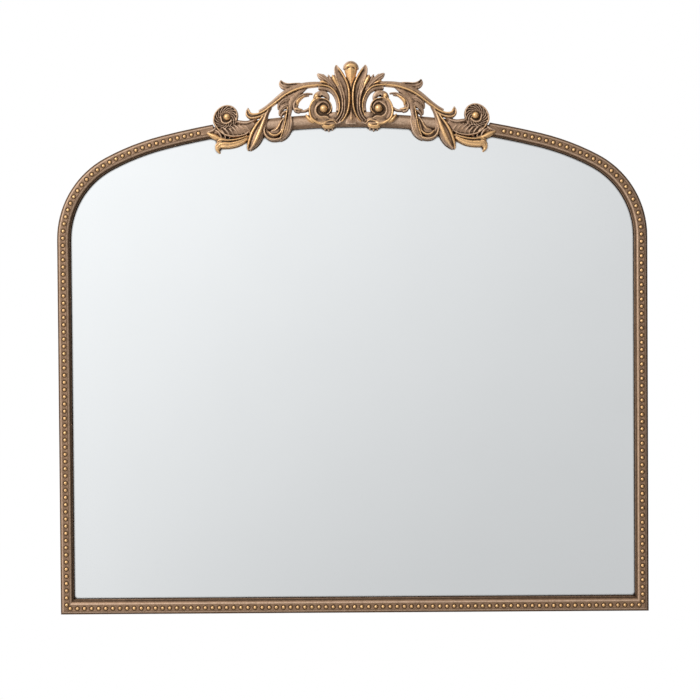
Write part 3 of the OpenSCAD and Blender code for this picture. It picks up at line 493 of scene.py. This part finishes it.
wingStrokes = [
    ("hookBack", 11.6, "soft", 0, [[150, 21, 3], [160, 16, 4], [169, 16, 4.4], [176, 20, 4],
     [177.5, 27, 2.4], [176.5, 31, 1]]),
    ("hookRidge", 13.4, "round", 0.45, [[146, 18.5, 1.6], [156, 13.6, 2.1], [166, 12, 2.3], [174, 13.6, 2.3],
     [179.3, 19.5, 2], [179.4, 27, 1.2]]),
    ("shoot", 12.4, "veined", 0.1, [[84, 61, 3], [96, 60.5, 4.4], [107, 59.5, 5.6], [115, 61, 6],
     [120, 65, 4], [120.5, 71.5, 1]]),
    ("shootEdge", 12.6, "round", 0.3, [[88, 63.5, 1.2], [99, 63.8, 1.3], [108, 64, 1.3], [115.5, 67, 1.2],
     [120, 71.5, 0.8]]),
    ("podBack", 12.8, "soft", 0, [[138, 27, 2.4], [145, 18, 4.2], [150, 6, 6], [155.5, -8, 8],
     [162, -22, 8.6], [168, -32, 6.6], [175, -41, 1.6]]),
    ("pod", 15.2, "round", 0.35, [[140, 26, 1.6], [146, 15, 3], [151, 2, 4.4], [156, -11, 5.4],
     [162, -24, 5.6], [168, -34, 4], [174, -41, 1.2]]),
    ("podRib", 14.6, "round", 0.85, [[146, 19, 1.2], [155.5, 8, 2.2], [164, -3, 3], [170.5, -14, 3.4],
     [174.5, -25, 3], [177, -34, 2.2], [178, -41, 0.9]]),
    ("leafBody", 13.8, "fluted", 0.1, [[109, 17, 3.4], [110, 6, 6], [110.5, -5, 8.4], [113, -15, 9],
     [117, -24, 6], [122.5, -31, 1.4]]),
    ("leafVein", 15.4, "round", 0.5, [[109, 24, 1], [110.5, 14, 1.4], [112.5, 3, 1.6], [115, -9, 1.6],
     [118.5, -20, 1.4], [122.5, -30, 0.8]]),
    ("leafEdge", 12.6, "round", 0.15, [[103.5, 8, 1.3], [102.4, -3, 1.8], [105, -14, 1.8], [111, -23, 1.4],
     [117, -28, 1]]),
    ("lobeUpper", 13, "veined", 0.1, [[104, 38, 3], [112, 38.5, 4.6], [119.5, 34.5, 4.4], [124, 28, 3],
     [125.5, 22, 1]]),
    ("lobeMiddle", 13.2, "veined", 0.1, [[106, 28, 3], [113, 27, 4], [119, 23, 3.6], [122.5, 17, 2.4],
     [123.5, 11.5, 1]]),
    ("lobeLower", 12.2, "keeled", 0.25, [[108, 17, 2.4], [115, 16, 3], [119.5, 12, 2.2], [121, 7, 1]]),
    ("curlBack", 11.2, "soft", 0, [[116, 2, 4], [122, -8, 6], [130, -17, 7], [139, -20, 6.4], [146, -14, 4],
     [147, -6, 2.4]]),
    ("curlOuter", 13.6, "round", 0.3, [[116, -25, 1.6], [124, -28.4, 2.2], [133, -28.8, 2.4],
     [141.5, -25.5, 2.5], [147.5, -18.5, 2.4], [149, -10, 2], [146.5, -3.5, 1.2]]),
    ("curlMiddle", 13.6, "round", 0.55, [[117, -9, 1.8], [121.5, -18, 2.2], [129, -22, 2.4], [137, -20, 2.2],
     [142, -14.5, 1.6]]),
    ("curlInner", 13.2, "round", 0.4, [[116, 6, 1.6], [121, 0, 2], [124.5, -7, 2.3], [130, -13, 2.2],
     [137, -13, 1.4]]),
    ("voluteRim", 12.8, "round", 0.3, turn((215.5, 20), 20, 20.2, 205, -40, (1.6, 1.9)) + [[227, 1, 1.9],
     [218, -8, 1.8], [205, -13.5, 1.8], [191, -15, 1.7], [180, -13, 1.5], [172, -7, 1.2]]),
    ("tailTop", 11.8, "keeled", 0.2, [[163, 10, 2], [172, 6.5, 3.4], [181, 5.5, 4], [190, 8, 3.6],
     [197, 11, 2.6], [202, 14, 1.6]]),
    ("tailBack", 11.5, "soft", 0, [[166, 2, 5], [178, -4, 8], [190, -5, 8.6], [201, -7, 7], [213, -6, 6],
     [224, 0, 5]]),
    ("eyeCrescent", 12.4, "soft", 0.3, turn((213, 20), 10, 10.5, 215, 355, (1.6, 1.6))[:-1]
     + [[224, 24, 1]]),
    ("leafGold", 13.2, "veined", 0.75, [[176, -18, 1.8], [184, -22, 4.4], [196, -25, 6], [208, -25.5, 6.6],
     [219, -24, 7], [227, -25, 5.4], [230, -31, 3.6], [227, -37.5, 1.2]]),
    ("leafGoldRim", 14.6, "round", 0.9, [[178, -17, 1], [188, -19.5, 1.7], [200, -20.5, 1.9],
     [212, -19.5, 1.9], [222, -17, 1.6], [231, -18, 1]]),
    ("flare", 13, "keeled", 0.5, [[219, -21, 2], [227, -21.5, 3.4], [233.5, -25, 1.4]]),
    ("collar", 13, "round", 0.7, [[217, -16, 1.8], [226, -14, 3.6], [235, -8.5, 4.4], [242, -4, 3.4],
     [248, -0.5, 1.2]]),
    ("collarTop", 12, "keeled", 0.2, [[232, 6, 1.6], [237, 2, 3], [243, 1, 2.4], [248.5, 1.5, 1]]),
]

# the end volute: a plate with curved fins round an eye, and the tail's feathers under it
volute = dict(
    centre=(215.5, 20), plate=20, plateHeight=8.4, eye=(213, 20.5), eyeRadius=5.8, eyeHeight=9.6,
    fins=15, finStart=9, finEnd=18.5, finWidth=(0.85, 0.45), finRelief=11.4, twist=56, finGilt=0.15,
    feathers=8, featherStart=173.5, featherStep=7, featherBow=1.5, featherRelief=12.2,
)
# the C scroll's plate and the two round bosses: place, radius, height
scroll = dict(plate=((47, 18), 15, 8.6), bosses=[((47, 17.5), 6.6, 9.6), ((59, 39.5), 3.6, 10.5)])
# the dark pits: place, half sizes
palmettePits = [((50, 39), (1.9, 1.9))]
wingPits = [((209, 1.5), (5, 2))]


def profilePoints(kind):
    # the closed cross section of a stroke: across from -1 to 1, relief from 0 to 1
    half = profiles[kind]
    last = len(half) - 1
    right = [(index / last, half[index]) for index in range(1, last + 1)]
    left = [(-across, height) for across, height in reversed(right)]
    return [(-1, -0.02)] + left + [(0, half[0])] + right + [(1, -0.02)]


def smoothPath(points, steps):
    # a smooth line through the points of a stroke
    spots = [Vector(p) for p in points]
    last = len(spots) - 1
    path = []
    for index in range(last):
        before, start = spots[max(index - 1, 0)], spots[index]
        end, after = spots[index + 1], spots[min(index + 2, last)]
        for step in range(steps):
            t = step / steps
            path.append(0.5 * (
                2 * start + (end - before) * t + (2 * before - 5 * start + 4 * end - after) * t ** 2
                + (3 * start - before - 3 * end + after) * t ** 3))
    return path + [spots[last]]


def strokeStations(points, relief):
    # where the cross section stands at each step along a stroke
    path = [Vector((p.x, barLine(p.x) + p.y, max(p.z, crest["thinnest"])))
            for p in smoothPath(points, crest["steps"])]
    widest = max(p.z for p in path)
    stations = []
    for index, spot in enumerate(path):
        ahead, behind = path[min(index + 1, len(path) - 1)], path[max(index - 1, 0)]
        heading = math.atan2(ahead.y - behind.y, ahead.x - behind.x)
        rise = relief * (crest["tipRelief"] + (1 - crest["tipRelief"]) * spot.z / widest)
        along = Vector((math.cos(heading), 0, math.sin(heading)))
        across = Vector((-math.sin(heading), 0, math.cos(heading)))
        columns = (across * spot.z, (0, -min(rise, crest["highest"]), 0), along,
                   (spot.x, -(arch["wallGap"] + crest["backDepth"]), spot.y))
        stations.append(Matrix(list(zip(*columns)) + [(0, 0, 0, 1)]))
    return stations


def ofKind(geometry, kind):
    return [element for element in geometry if isinstance(element, kind)]


def addStroke(bm, relief, kind, gilt, points):
    # the cross section, drawn at the first station and carried along the others
    stations = strokeStations(points, relief)
    layer = bm.verts.layers.float["gilt"]
    ring = [bm.verts.new(stations[0] @ Vector((*point, 0))) for point in profilePoints(kind)]
    for vert in ring:
        vert[layer] = gilt
    edges = [bm.edges.new((ring[i - 1], ring[i])) for i in range(len(ring))]
    bmesh.ops.contextual_create(bm, geom=edges)
    for index in range(1, len(stations)):
        made = bmesh.ops.extrude_edge_only(bm, edges=edges)["geom"]
        verts = ofKind(made, bmesh.types.BMVert)
        edges = [e for e in ofKind(made, bmesh.types.BMEdge) if all(v in verts for v in e.verts)]
        bmesh.ops.transform(bm, matrix=stations[index] @ stations[index - 1].inverted(), verts=verts)
    bmesh.ops.contextual_create(bm, geom=edges)


def addStrokes(bm, strokes):
    for name, relief, kind, gilt, points in strokes:
        addStroke(bm, relief, kind, gilt, points)


def onCrest(place, height):
    x, rise = place
    return Vector((x, -(arch["wallGap"] + crest["backDepth"] + height), barLine(x) + rise))


def addBall(bm, place, radius, height):
    centred = Matrix.Translation(onCrest(place, height))
    made = bmesh.ops.create_uvsphere(bm, u_segments=24, v_segments=16, radius=radius, matrix=centred)
    for vert in made["verts"]:
        vert[bm.verts.layers.float["gilt"]] = 1


def addPlate(bm, place, size, low, high):
    stood = Matrix.Translation(onCrest(place, (low + high) / 2)) @ Matrix.Rotation(math.pi / 2, 4, "X")
    bmesh.ops.create_cone(bm, cap_ends=True, segments=48, radius1=1, radius2=1, depth=high - low,
                          matrix=stood @ Matrix.Diagonal((*size, 1, 1)))


def addVolute(bm):
    centre = volute["centre"]
    addPlate(bm, centre, (volute["plate"], volute["plate"]), 0, volute["plateHeight"])
    addBall(bm, volute["eye"], volute["eyeRadius"], volute["eyeHeight"])
    thin, growth = volute["finWidth"]
    for index in range(volute["fins"]):
        angle = 2 * math.pi / volute["fins"] * index
        points = []
        for share in (0, 0.35, 0.7, 1):
            radius = volute["finStart"] + (volute["finEnd"] - volute["finStart"]) * share
            lean = angle + math.radians(volute["twist"]) * share
            points.append(placeRound(centre, radius, lean) + [thin + growth * share])
        addStroke(bm, volute["finRelief"], "round", volute["finGilt"], points)
    for index in range(volute["feathers"]):
        start = volute["featherStart"] + index * volute["featherStep"]
        bow = volute["featherBow"] * math.sin(math.pi * index / (volute["feathers"] - 1))
        addStroke(bm, volute["featherRelief"], "round", volute["finGilt"],
                  [[start, -15 - bow, 1.2], [start + 1.5, -9, 2], [start + 6, -2, 2.3],
                   [start + 13, 3.5 + bow, 1.2]])


def sceneObject(name, data):
    made = bpy.data.objects.new(name, data)
    scene.collection.objects.link(made)
    return made


def meshObject(name, bm, recalc=True):
    if recalc:
        bmesh.ops.recalc_face_normals(bm, faces=bm.faces)
    mesh = bpy.data.meshes.new(name)
    bm.to_mesh(mesh)
    bm.free()
    return sceneObject(name, mesh)


def cutterObject(name, bm):
    bmesh.ops.scale(bm, vec=(mm, mm, mm), verts=bm.verts)
    return meshObject(name, bm)


def applyModifiers(thing):
    graph = bpy.context.evaluated_depsgraph_get()
    graph.update()
    mesh = bpy.data.meshes.new_from_object(thing.evaluated_get(graph))
    thing.modifiers.clear()
    thing.data = mesh


def mirrorAcross(bm, geometry):
    bmesh.ops.scale(bm, vec=(-1, 1, 1), verts=ofKind(geometry, bmesh.types.BMVert))
    bmesh.ops.reverse_faces(bm, faces=ofKind(geometry, bmesh.types.BMFace))


def everything(bm):
    return list(bm.verts) + list(bm.edges) + list(bm.faces)


def buildCentre(bm):
    addStrokes(bm, palmetteStrokes)
    place, radius, height = scroll["plate"]
    addPlate(bm, place, (radius, radius), 0, height)
    for place, radius, height in scroll["bosses"]:
        addBall(bm, place, radius, height)
    addStrokes(bm, joiningStrokes)
    mirrorAcross(bm, bmesh.ops.duplicate(bm, geom=everything(bm))["geom"])
    addStrokes(bm, middleStrokes)


def buildWing(bm):
    addStrokes(bm, joiningStrokes)
    addStrokes(bm, wingStrokes)
    addVolute(bm)


def melted(name, build):
    # the strokes melted into one closed skin, and where each bit of gilding lay
    bm = bmesh.new()
    layer = bm.verts.layers.float.new("gilt")
    build(bm)
    bmesh.ops.scale(bm, vec=(mm, mm, mm), verts=bm.verts)
    gilding = [(vert.co.copy(), vert[layer]) for vert in bm.verts]
    thing = meshObject(name, bm)
    remesh = thing.modifiers.new("Melt", "REMESH")
    remesh.mode = "VOXEL"
    remesh.voxel_size = crest["voxel"] * mm
    applyModifiers(thing)
    return thing, gilding


def outlineRing(bm, points, angle):
    # a section of the frame, drawn inward and forward, stood at an angle of the crown
    turnBy = Matrix.Translation((0, 0, crownHeight)) @ Matrix.Rotation(-math.radians(angle), 4, "Y")
    ring = [bm.verts.new(turnBy @ Vector((crownRadius - u, -(arch["wallGap"] + v), 0))) for u, v in points]
    return [bm.edges.new((ring[i - 1], ring[i])) for i in range(len(ring))]


def barHeight(u, gap):
    radius = bar["roundRadius"] + gap
    return bar["roundDepth"] + math.sqrt(max(radius ** 2 - (u - bar["middle"]) ** 2, 0))


def railHeight(u, gap):
    rise = arch["mouldingRadius"] + gap
    return min(arch["mouldingCentre"] + math.sqrt(rise ** 2 - (u - arch["faceWidth"] / 2) ** 2),
               arch["landDepth"] + gap)


def seatCutters():
    # what the castings leave free: the bar under them and the rails beside it
    gap = crest["seatGap"]
    steps = crest["seatSteps"]
    overlap = 0.01
    high = arch["faceWidth"] + gap
    low = bar["middle"] - bar["width"] / 2 - gap
    barAcross = [low + (high - low) * index / steps for index in range(steps + 1)]
    railAcross = [-gap + (arch["faceWidth"] + 2 * gap) * index / steps for index in range(steps + 1)]
    barPoints = [(low, 0)] + [(u, barHeight(u, gap)) for u in barAcross] + [(high, 0)]
    railPoints = [(-gap, 0)] + [(u, railHeight(u, gap)) for u in railAcross] + [(high, 0)]
    cutters = []
    runs = [(barPoints, barAngle, 180 - barAngle), (railPoints, shoulderAngle, barAngle + overlap),
            (railPoints, 180 - barAngle - overlap, 180 - shoulderAngle)]
    for points, start, end in runs:
        bm = bmesh.new()
        edges = outlineRing(bm, points, start)
        bmesh.ops.contextual_create(bm, geom=edges)
        made = bmesh.ops.spin(
            bm, geom=edges, cent=(0, 0, crownHeight), axis=(0, -1, 0), steps=crest["seatTurns"],
            angle=math.radians(end - start), use_merge=False, use_duplicate=False)
        bmesh.ops.contextual_create(bm, geom=ofKind(made["geom_last"], bmesh.types.BMEdge))
        cutters.append(cutterObject("seatCutter", bm))
    return cutters


def pitCutters(pits):
    made = []
    for (x, height), halfSizes in pits:
        for side in (-1, 1):
            bm = bmesh.new()
            addPlate(bm, (side * x, height), halfSizes, *crest["pitDepths"])
            made.append(cutterObject("pitCutter", bm))
    return made


def cut(thing, cutters):
    for cutter in cutters:
        cutting = thing.modifiers.new("Cut", "BOOLEAN")
        cutting.operation = "DIFFERENCE"
        cutting.solver = "MANIFOLD"
        cutting.object = cutter
        applyModifiers(thing)


def splitAt(thing, planes):
    # keeps the side that each plane's normal points away from, and closes the cut
    bm = bmesh.new()
    bm.from_mesh(thing.data)
    for x, side in planes:
        bmesh.ops.bisect_plane(bm, geom=everything(bm), dist=1e-7, clear_outer=True,
                               plane_co=(x * mm, 0, 0), plane_no=(side, 0, 0))
        bmesh.ops.holes_fill(bm, edges=[e for e in bm.edges if e.is_boundary], sides=0)
    bm.to_mesh(thing.data)
    bm.free()


def readArray(collection, name, width, kind=float):
    values = np.zeros(len(collection) * width, kind)
    collection.foreach_get(name, values)
    return values.reshape(-1, width)


def spread(values, edges, counts, times):
    # averages a value over each vertex's neighbours, again and again
    for step in range(times):
        total = np.zeros_like(values)
        np.add.at(total, edges[:, 0], values[edges[:, 1]])
        np.add.at(total, edges[:, 1], values[edges[:, 0]])
        values = 0.4 * values + 0.6 * total / counts[:, None]
    return values


# rounds of averaging for fine, middle and wide forms, and what each counts for in a mask
reliefLook = dict(rounds=(4, 12, 36), ridge=(4, 1.6, 0.35), hollow=(-2.5, -2, -0.6),
                  liftFrom=4, liftOver=12)


def markRelief(thing, gilding):
    # how far each point stands out of, or lies in, the surface round it, and what was gilded
    mesh = thing.data
    places = readArray(mesh.vertices, "co", 3)
    normals = readArray(mesh.vertices, "normal", 3)
    edges = readArray(mesh.edges, "vertices", 2, np.int64)
    counts = np.maximum(np.bincount(edges.ravel(), minlength=len(places)), 1).astype(float)
    tree = KDTree(len(gilding))
    for index, (place, value) in enumerate(gilding):
        tree.insert(place, index)
    tree.balance()
    above = []
    level = places
    for rounds in reliefLook["rounds"]:
        smoother = spread(level, edges, counts, rounds)
        above.append(((level - smoother) * normals).sum(1) / mm)
        level = smoother
    height = -places[:, 1] / mm - arch["wallGap"] - crest["backDepth"]
    # the concave parts' mask gives umber, as patina and as painted shade
    masks = dict(
        ridge=sum(share * part for share, part in zip(reliefLook["ridge"], above)),
        hollow=sum(share * part for share, part in zip(reliefLook["hollow"], above)),
        gilt=np.array([gilding[tree.find(place)[1]][1] for place in places]),
        lift=np.clip((height - reliefLook["liftFrom"]) / reliefLook["liftOver"], 0, 1),
    )
    for label, values in masks.items():
        values = spread(values[:, None], edges, counts, 2)[:, 0]
        attribute = mesh.attributes.new(label, "FLOAT", "POINT")
        attribute.data.foreach_set("value", values.astype(np.float32))


def casting(name, build, pits, planes):
    thing, gilding = melted(name, build)
    cut(thing, seats + pitCutters(pits))
    markRelief(thing, gilding)
    splitAt(thing, planes)
    return thing


def dress(thing, material, sharpAngle):
    mesh = thing.data
    mesh.materials.clear()
    mesh.materials.append(material)
    mesh.polygons.foreach_set("use_smooth", [True] * len(mesh.polygons))
    mesh.set_sharp_from_angle(angle=math.radians(sharpAngle))
    print(thing.name, len(mesh.polygons), "faces")


def finishCasting(thing, node):
    dress(thing, crestBronze, crest["sharpAngle"])
    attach(thing, "frame")
    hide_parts(node)


seats = seatCutters()
centre = casting("crestPalmette", buildCentre, palmettePits, [(crest["split"], 1), (-crest["split"], -1)])
wing = casting("crestWingRight", buildWing, wingPits, [(crest["split"], -1)])
for cutter in [other for other in bpy.data.objects if "Cutter" in other.name]:
    bpy.data.objects.remove(cutter)
bm = bmesh.new()
bm.from_mesh(wing.data)
mirrorAcross(bm, everything(bm))
wingLeft = meshObject("crestWingLeft", bm, recalc=False)
finishCasting(centre, "crest_centre")
finishCasting(wing, "crest_wing_right")
finishCasting(wingLeft, "crest_wing_left")
print("crest ready")

# rails and bar
# copies of the frame's metal with fuller beads, bottom lip and bar than the part has;
# a collar's rows are radius, rise from the bead's centre, darkness of the painted shade round the bead, and
# gilding
beads = dict(
    pitch=12.25, radius=3.15, depth=23.6, endX=256, footAngle=1.14, sides=20, rings=8,
    collar=[(5, 0.9, 0, 0), (4.7, 1.47, 0.15, 0), (3.9, 1.42, 1, 0), (3.2, 1.2, 1, 0), (2.9, 1.28, 1, 0)],
)
fuller = dict(lip=3.4, lipFrom=15.2, bar=4.6, barStart=232, barFull=176, front=13.99, sharpAngle=32)


def beadLine():
    # the places of the right rail's beads, from the mitre up
    inset = arch["faceWidth"] / 2
    crownCentre = Vector((0, crownHeight))
    endAngle = math.degrees(math.acos(beads["endX"] / (crownRadius - inset)))
    arcs = [(cornerCentre, arch["cornerRadius"] - inset, 0, arch["cornerSweep"]),
            (shoulderCentre, arch["shoulderRadius"] - inset, arch["cornerSweep"], shoulderAngle),
            (crownCentre, crownRadius - inset, shoulderAngle, endAngle)]
    straight = arch["springHeight"] - inset
    runs = [radius * math.radians(end - start) for _, radius, start, end in arcs]
    total = straight + sum(runs)
    count = math.floor(total / beads["pitch"])
    places = []
    for index in range(count):
        along = (index + 0.5) * total / count
        if along < straight:
            places.append(Vector((arch["halfWidth"] - inset, inset + along)))
            continue
        along -= straight
        for (centre, radius, start, _), run in zip(arcs, runs):
            if along < run:
                angle = math.radians(start) + along / radius
                places.append(centre + radius * Vector((math.cos(angle), math.sin(angle))))
                break
            along -= run
    return places


def bottomBeads():
    inset = arch["faceWidth"] / 2
    total = 2 * (arch["halfWidth"] - inset)
    count = math.floor(total / beads["pitch"])
    return [Vector(((index + 0.5) * total / count - total / 2, inset)) for index in range(count)]


def oneBead():
    # a bead in a collar that lines its dimple and is painted dark as the shade round the bead, turned round
    # its axis
    around = beads["sides"]
    profile = list(beads["collar"])
    for step in range(beads["rings"]):
        angle = beads["footAngle"] * (1 - step / beads["rings"])
        profile.append((beads["radius"] * math.sin(angle), beads["radius"] * math.cos(angle), 0, 1))
    corners, foot, gilt, faces = [], [], [], []
    for radius, rise, darkness, gold in profile:
        for index in range(around):
            angle = math.tau * index / around
            corners.append((radius * math.cos(angle), -rise, radius * math.sin(angle)))
            foot.append(darkness)
            gilt.append(gold)
    top = len(corners) - around
    tip, bottom = len(corners), len(corners) + 1
    corners += [(0, -beads["radius"], 0), (0, 0, 0)]
    for index in range(around):
        after = (index + 1) % around
        for low in range(0, top, around):
            faces.append((low + index, low + after, low + around + after, low + around + index))
        faces.append((top + index, top + after, tip))
        faces.append((after, index, bottom))
    return np.array(corners), faces, foot + [0, 0], gilt + [1, 0]


def beadMesh(places):
    corners, faces, foot, gilt = oneBead()
    spots = np.array([(place.x, -(arch["wallGap"] + beads["depth"]), place.y) for place in places])
    everyCorner = (spots[:, None, :] + corners[None, :, :]).reshape(-1, 3) * mm
    everyFace = [[corner + step * len(corners) for corner in face]
                 for step in range(len(spots)) for face in faces]
    mesh = bpy.data.meshes.new("beads")
    mesh.from_pydata(everyCorner.tolist(), [], everyFace)
    # the foot values are the collar's painted shade
    for label, values in (("foot", foot), ("gilt", gilt)):
        mesh.attributes.new(label, "FLOAT", "POINT").data.foreach_set("value", values * len(spots))
    return mesh


def dressedCopy(name, node, places=(), moved=None):
    bm = bmesh.new()
    bm.from_mesh(nodes[node].data)
    bmesh.ops.remove_doubles(bm, verts=bm.verts, dist=1e-6)
    if moved:
        for vert in bm.verts:
            if -vert.co.y / mm - arch["wallGap"] > fuller["front"]:
                vert.co = moved(vert.co)
    if places:
        bm.verts.layers.float.new("foot")
        bm.verts.layers.float.new("gilt")
        bm.from_mesh(beadMesh(places))
    thing = meshObject(name, bm, recalc=False)
    dress(thing, finishes[node], fuller["sharpAngle"])
    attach(thing, "frame")
    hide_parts(node)


def clamped(value):
    return min(max(value, 0), 1)


def widenLip(spot):
    # the bottom rail's inner flank runs a little further up the glass
    share = clamped((spot.z / mm - fuller["lipFrom"]) / (arch["faceWidth"] - fuller["lipFrom"]))
    return spot + Vector((0, 0, fuller["lip"] * share * mm))


def widenBar(spot):
    # between the wings the bar is fuller towards its inner side
    away = clamped((fuller["barStart"] - abs(spot.x) / mm) / (fuller["barStart"] - fuller["barFull"]))
    radial = Vector((spot.x / mm, spot.z / mm - crownHeight))
    inset = crownRadius - radial.length
    share = (inset - (bar["middle"] - bar["width"] / 2)) / bar["width"]
    radial *= 1 - away * away * (3 - 2 * away) * fuller["bar"] * max(share, 0) / radial.length
    return Vector((radial.x * mm, spot.y, (radial.y + crownHeight) * mm))


rightBeads = beadLine()
dressedCopy("beadedRailRight", "rail_right", rightBeads)
dressedCopy("beadedRailLeft", "rail_left", [Vector((-place.x, place.y)) for place in rightBeads])
dressedCopy("beadedBottomRail", "bottom_rail", bottomBeads(), widenLip)
dressedCopy("crestBarRound", "crest_bar", moved=widenBar)
print("rails ready")

# studio
studio = dict(
    # planes: size, place, turn and its axis, grey
    floor=((5, 3.4), (0, -0.9, -0.9), 0, "Z", 0.86),
    reflectorCard=((7, 6), (0, -6.4, 0.4), -90, "X", 0.02),
    darkFlag=((5.4, 4.6), (3.6, -1.6, 1.2), -90, "Y", 0.03),
    # lamps: place, size, power
    keyLamp=((-3.2, -3.75, 2.95), 1.3, 300),
    fillLamp=((0.6, -3.6, 2.6), 1.6, 12),
    aim=(0, 0, 0.5), roughness=0.9, worldLight=0.32,
)
# the card's span in metres; its brightness above, left to right, and below, right to left;
# what it gives to matt surfaces
grade = dict(left=-1.62, right=1.67, low=-1.11, high=1.45, above=(1.02, 0.73), below=(0.6, 0.79),
             belowPower=1.9, tint=(0.985, 1.0, 1.008), onMatt=(0.1, 0.1, 0.1, 1))


def stagePlane(name):
    size, place, angle, axis, grey = studio[name]
    bm = bmesh.new()
    bmesh.ops.create_grid(bm, x_segments=1, y_segments=1, size=0.5)
    bmesh.ops.scale(bm, vec=(size[0], size[1], 1), verts=bm.verts)
    turned = Matrix.Translation(place) @ Matrix.Rotation(math.radians(angle), 4, axis)
    bmesh.ops.transform(bm, matrix=turned, verts=bm.verts)
    thing = meshObject(name, bm, recalc=False)
    material, tree, principled = startMaterial(name + "Finish", Roughness=studio["roughness"])
    principled.inputs["Base Color"].default_value = (grey, grey, grey, 1)
    thing.data.materials.append(material)
    return tree, principled


def shine(tree, principled, colour):
    tree.links.new(colour, principled.inputs["Emission Color"])
    principled.inputs["Emission Strength"].default_value = 1.0


def onCameraRays(tree):
    return addNode(tree, "ShaderNodeLightPath").outputs["Is Camera Ray"]


def seenDirectly(tree):
    # by the camera, or in metal and glass
    path = addNode(tree, "ShaderNodeLightPath").outputs
    return highestOf(tree, path["Is Camera Ray"], path["Is Glossy Ray"], path["Is Transmission Ray"])


def cardColour(tree):
    # the room in front of the mirror: bright at the upper left, duller to the lower right
    across = alongAxis(tree, "X")
    above = rangeNode(tree, across, grade["left"], grade["right"], *grade["above"], "LINEAR")
    toLeft = rangeNode(tree, across, grade["left"], grade["right"], 1, 0, "LINEAR")
    below = mathNode(tree, "POWER", toLeft, grade["belowPower"])
    below = rangeNode(tree, below, 0, 1, *grade["below"], "LINEAR")
    blend = rangeNode(tree, alongAxis(tree, "Z"), grade["low"], grade["high"], 0, 1, "LINEAR")
    mixer = addNode(tree, "ShaderNodeMix", data_type="FLOAT")
    for index, value in ((0, blend), (2, below), (3, above)):
        feed(tree, mixer.inputs[index], value)
    shade = addNode(tree, "ShaderNodeVectorMath", operation="SCALE", inputs={0: grade["tint"]})
    tree.links.new(mixer.outputs[0], shade.inputs["Scale"])
    graded = mixColour(tree, seenDirectly(tree), grade["onMatt"], shade.outputs[0])
    return mixColour(tree, onCameraRays(tree), graded, (1, 1, 1, 1))


def areaLamp(name):
    place, size, power = studio[name]
    lampData = bpy.data.lights.new(name, "AREA")
    lampData.shape = "RECTANGLE"
    lampData.size = lampData.size_y = size
    lampData.energy = power
    lamp = sceneObject(name, lampData)
    lamp.location = place
    lamp.rotation_euler = (Vector(studio["aim"]) - Vector(place)).to_track_quat("-Z", "Y").to_euler()


stagePlane("floor")
tree, principled = stagePlane("reflectorCard")
shine(tree, principled, cardColour(tree))
# seen straight on, the flag is part of the white backdrop; the metal beside it sees it dark
tree, principled = stagePlane("darkFlag")
shine(tree, principled, onCameraRays(tree))
areaLamp("keyLamp")
areaLamp("fillLamp")

# white behind everything, and a softer light of the same white on matt surfaces
world = bpy.data.worlds.new("Studio")
scene.world = world
world.use_nodes = True
tree = world.node_tree
background = tree.nodes["Background"]
background.inputs["Color"].default_value = (1, 1, 1, 1)
background.inputs["Strength"].default_value = studio["worldLight"]
white = addNode(tree, "ShaderNodeBackground", inputs=dict(Color=(1, 1, 1, 1), Strength=1.0))
mixer = addNode(tree, "ShaderNodeMixShader")
tree.links.new(seenDirectly(tree), mixer.inputs[0])
tree.links.new(background.outputs[0], mixer.inputs[1])
tree.links.new(white.outputs[0], mixer.inputs[2])
tree.links.new(mixer.outputs[0], tree.nodes["World Output"].inputs["Surface"])
print("studio ready")

# camera
# place in metres, angles in degrees, focal length and frame in pixels, sensor in millimetres
lens = dict(place=(0.0006, -2.522, 0.4961), pitch=-0.964, yaw=0.127, roll=-0.409, focal=1449.6, frame=700,
            sensor=36)
cameraData = bpy.data.cameras.new("Camera")
cameraData.sensor_width = lens["sensor"]
cameraData.lens = lens["focal"] / lens["frame"] * lens["sensor"]
camera = sceneObject("Camera", cameraData)
camera.matrix_world = (
    Matrix.Translation(lens["place"]) @ Matrix.Rotation(math.radians(lens["yaw"]), 4, "Z")
    @ Matrix.Rotation(math.radians(90 + lens["pitch"]), 4, "X")
    @ Matrix.Rotation(math.radians(lens["roll"]), 4, "Z"))
scene.camera = camera
scene.view_settings.view_transform = "Standard"
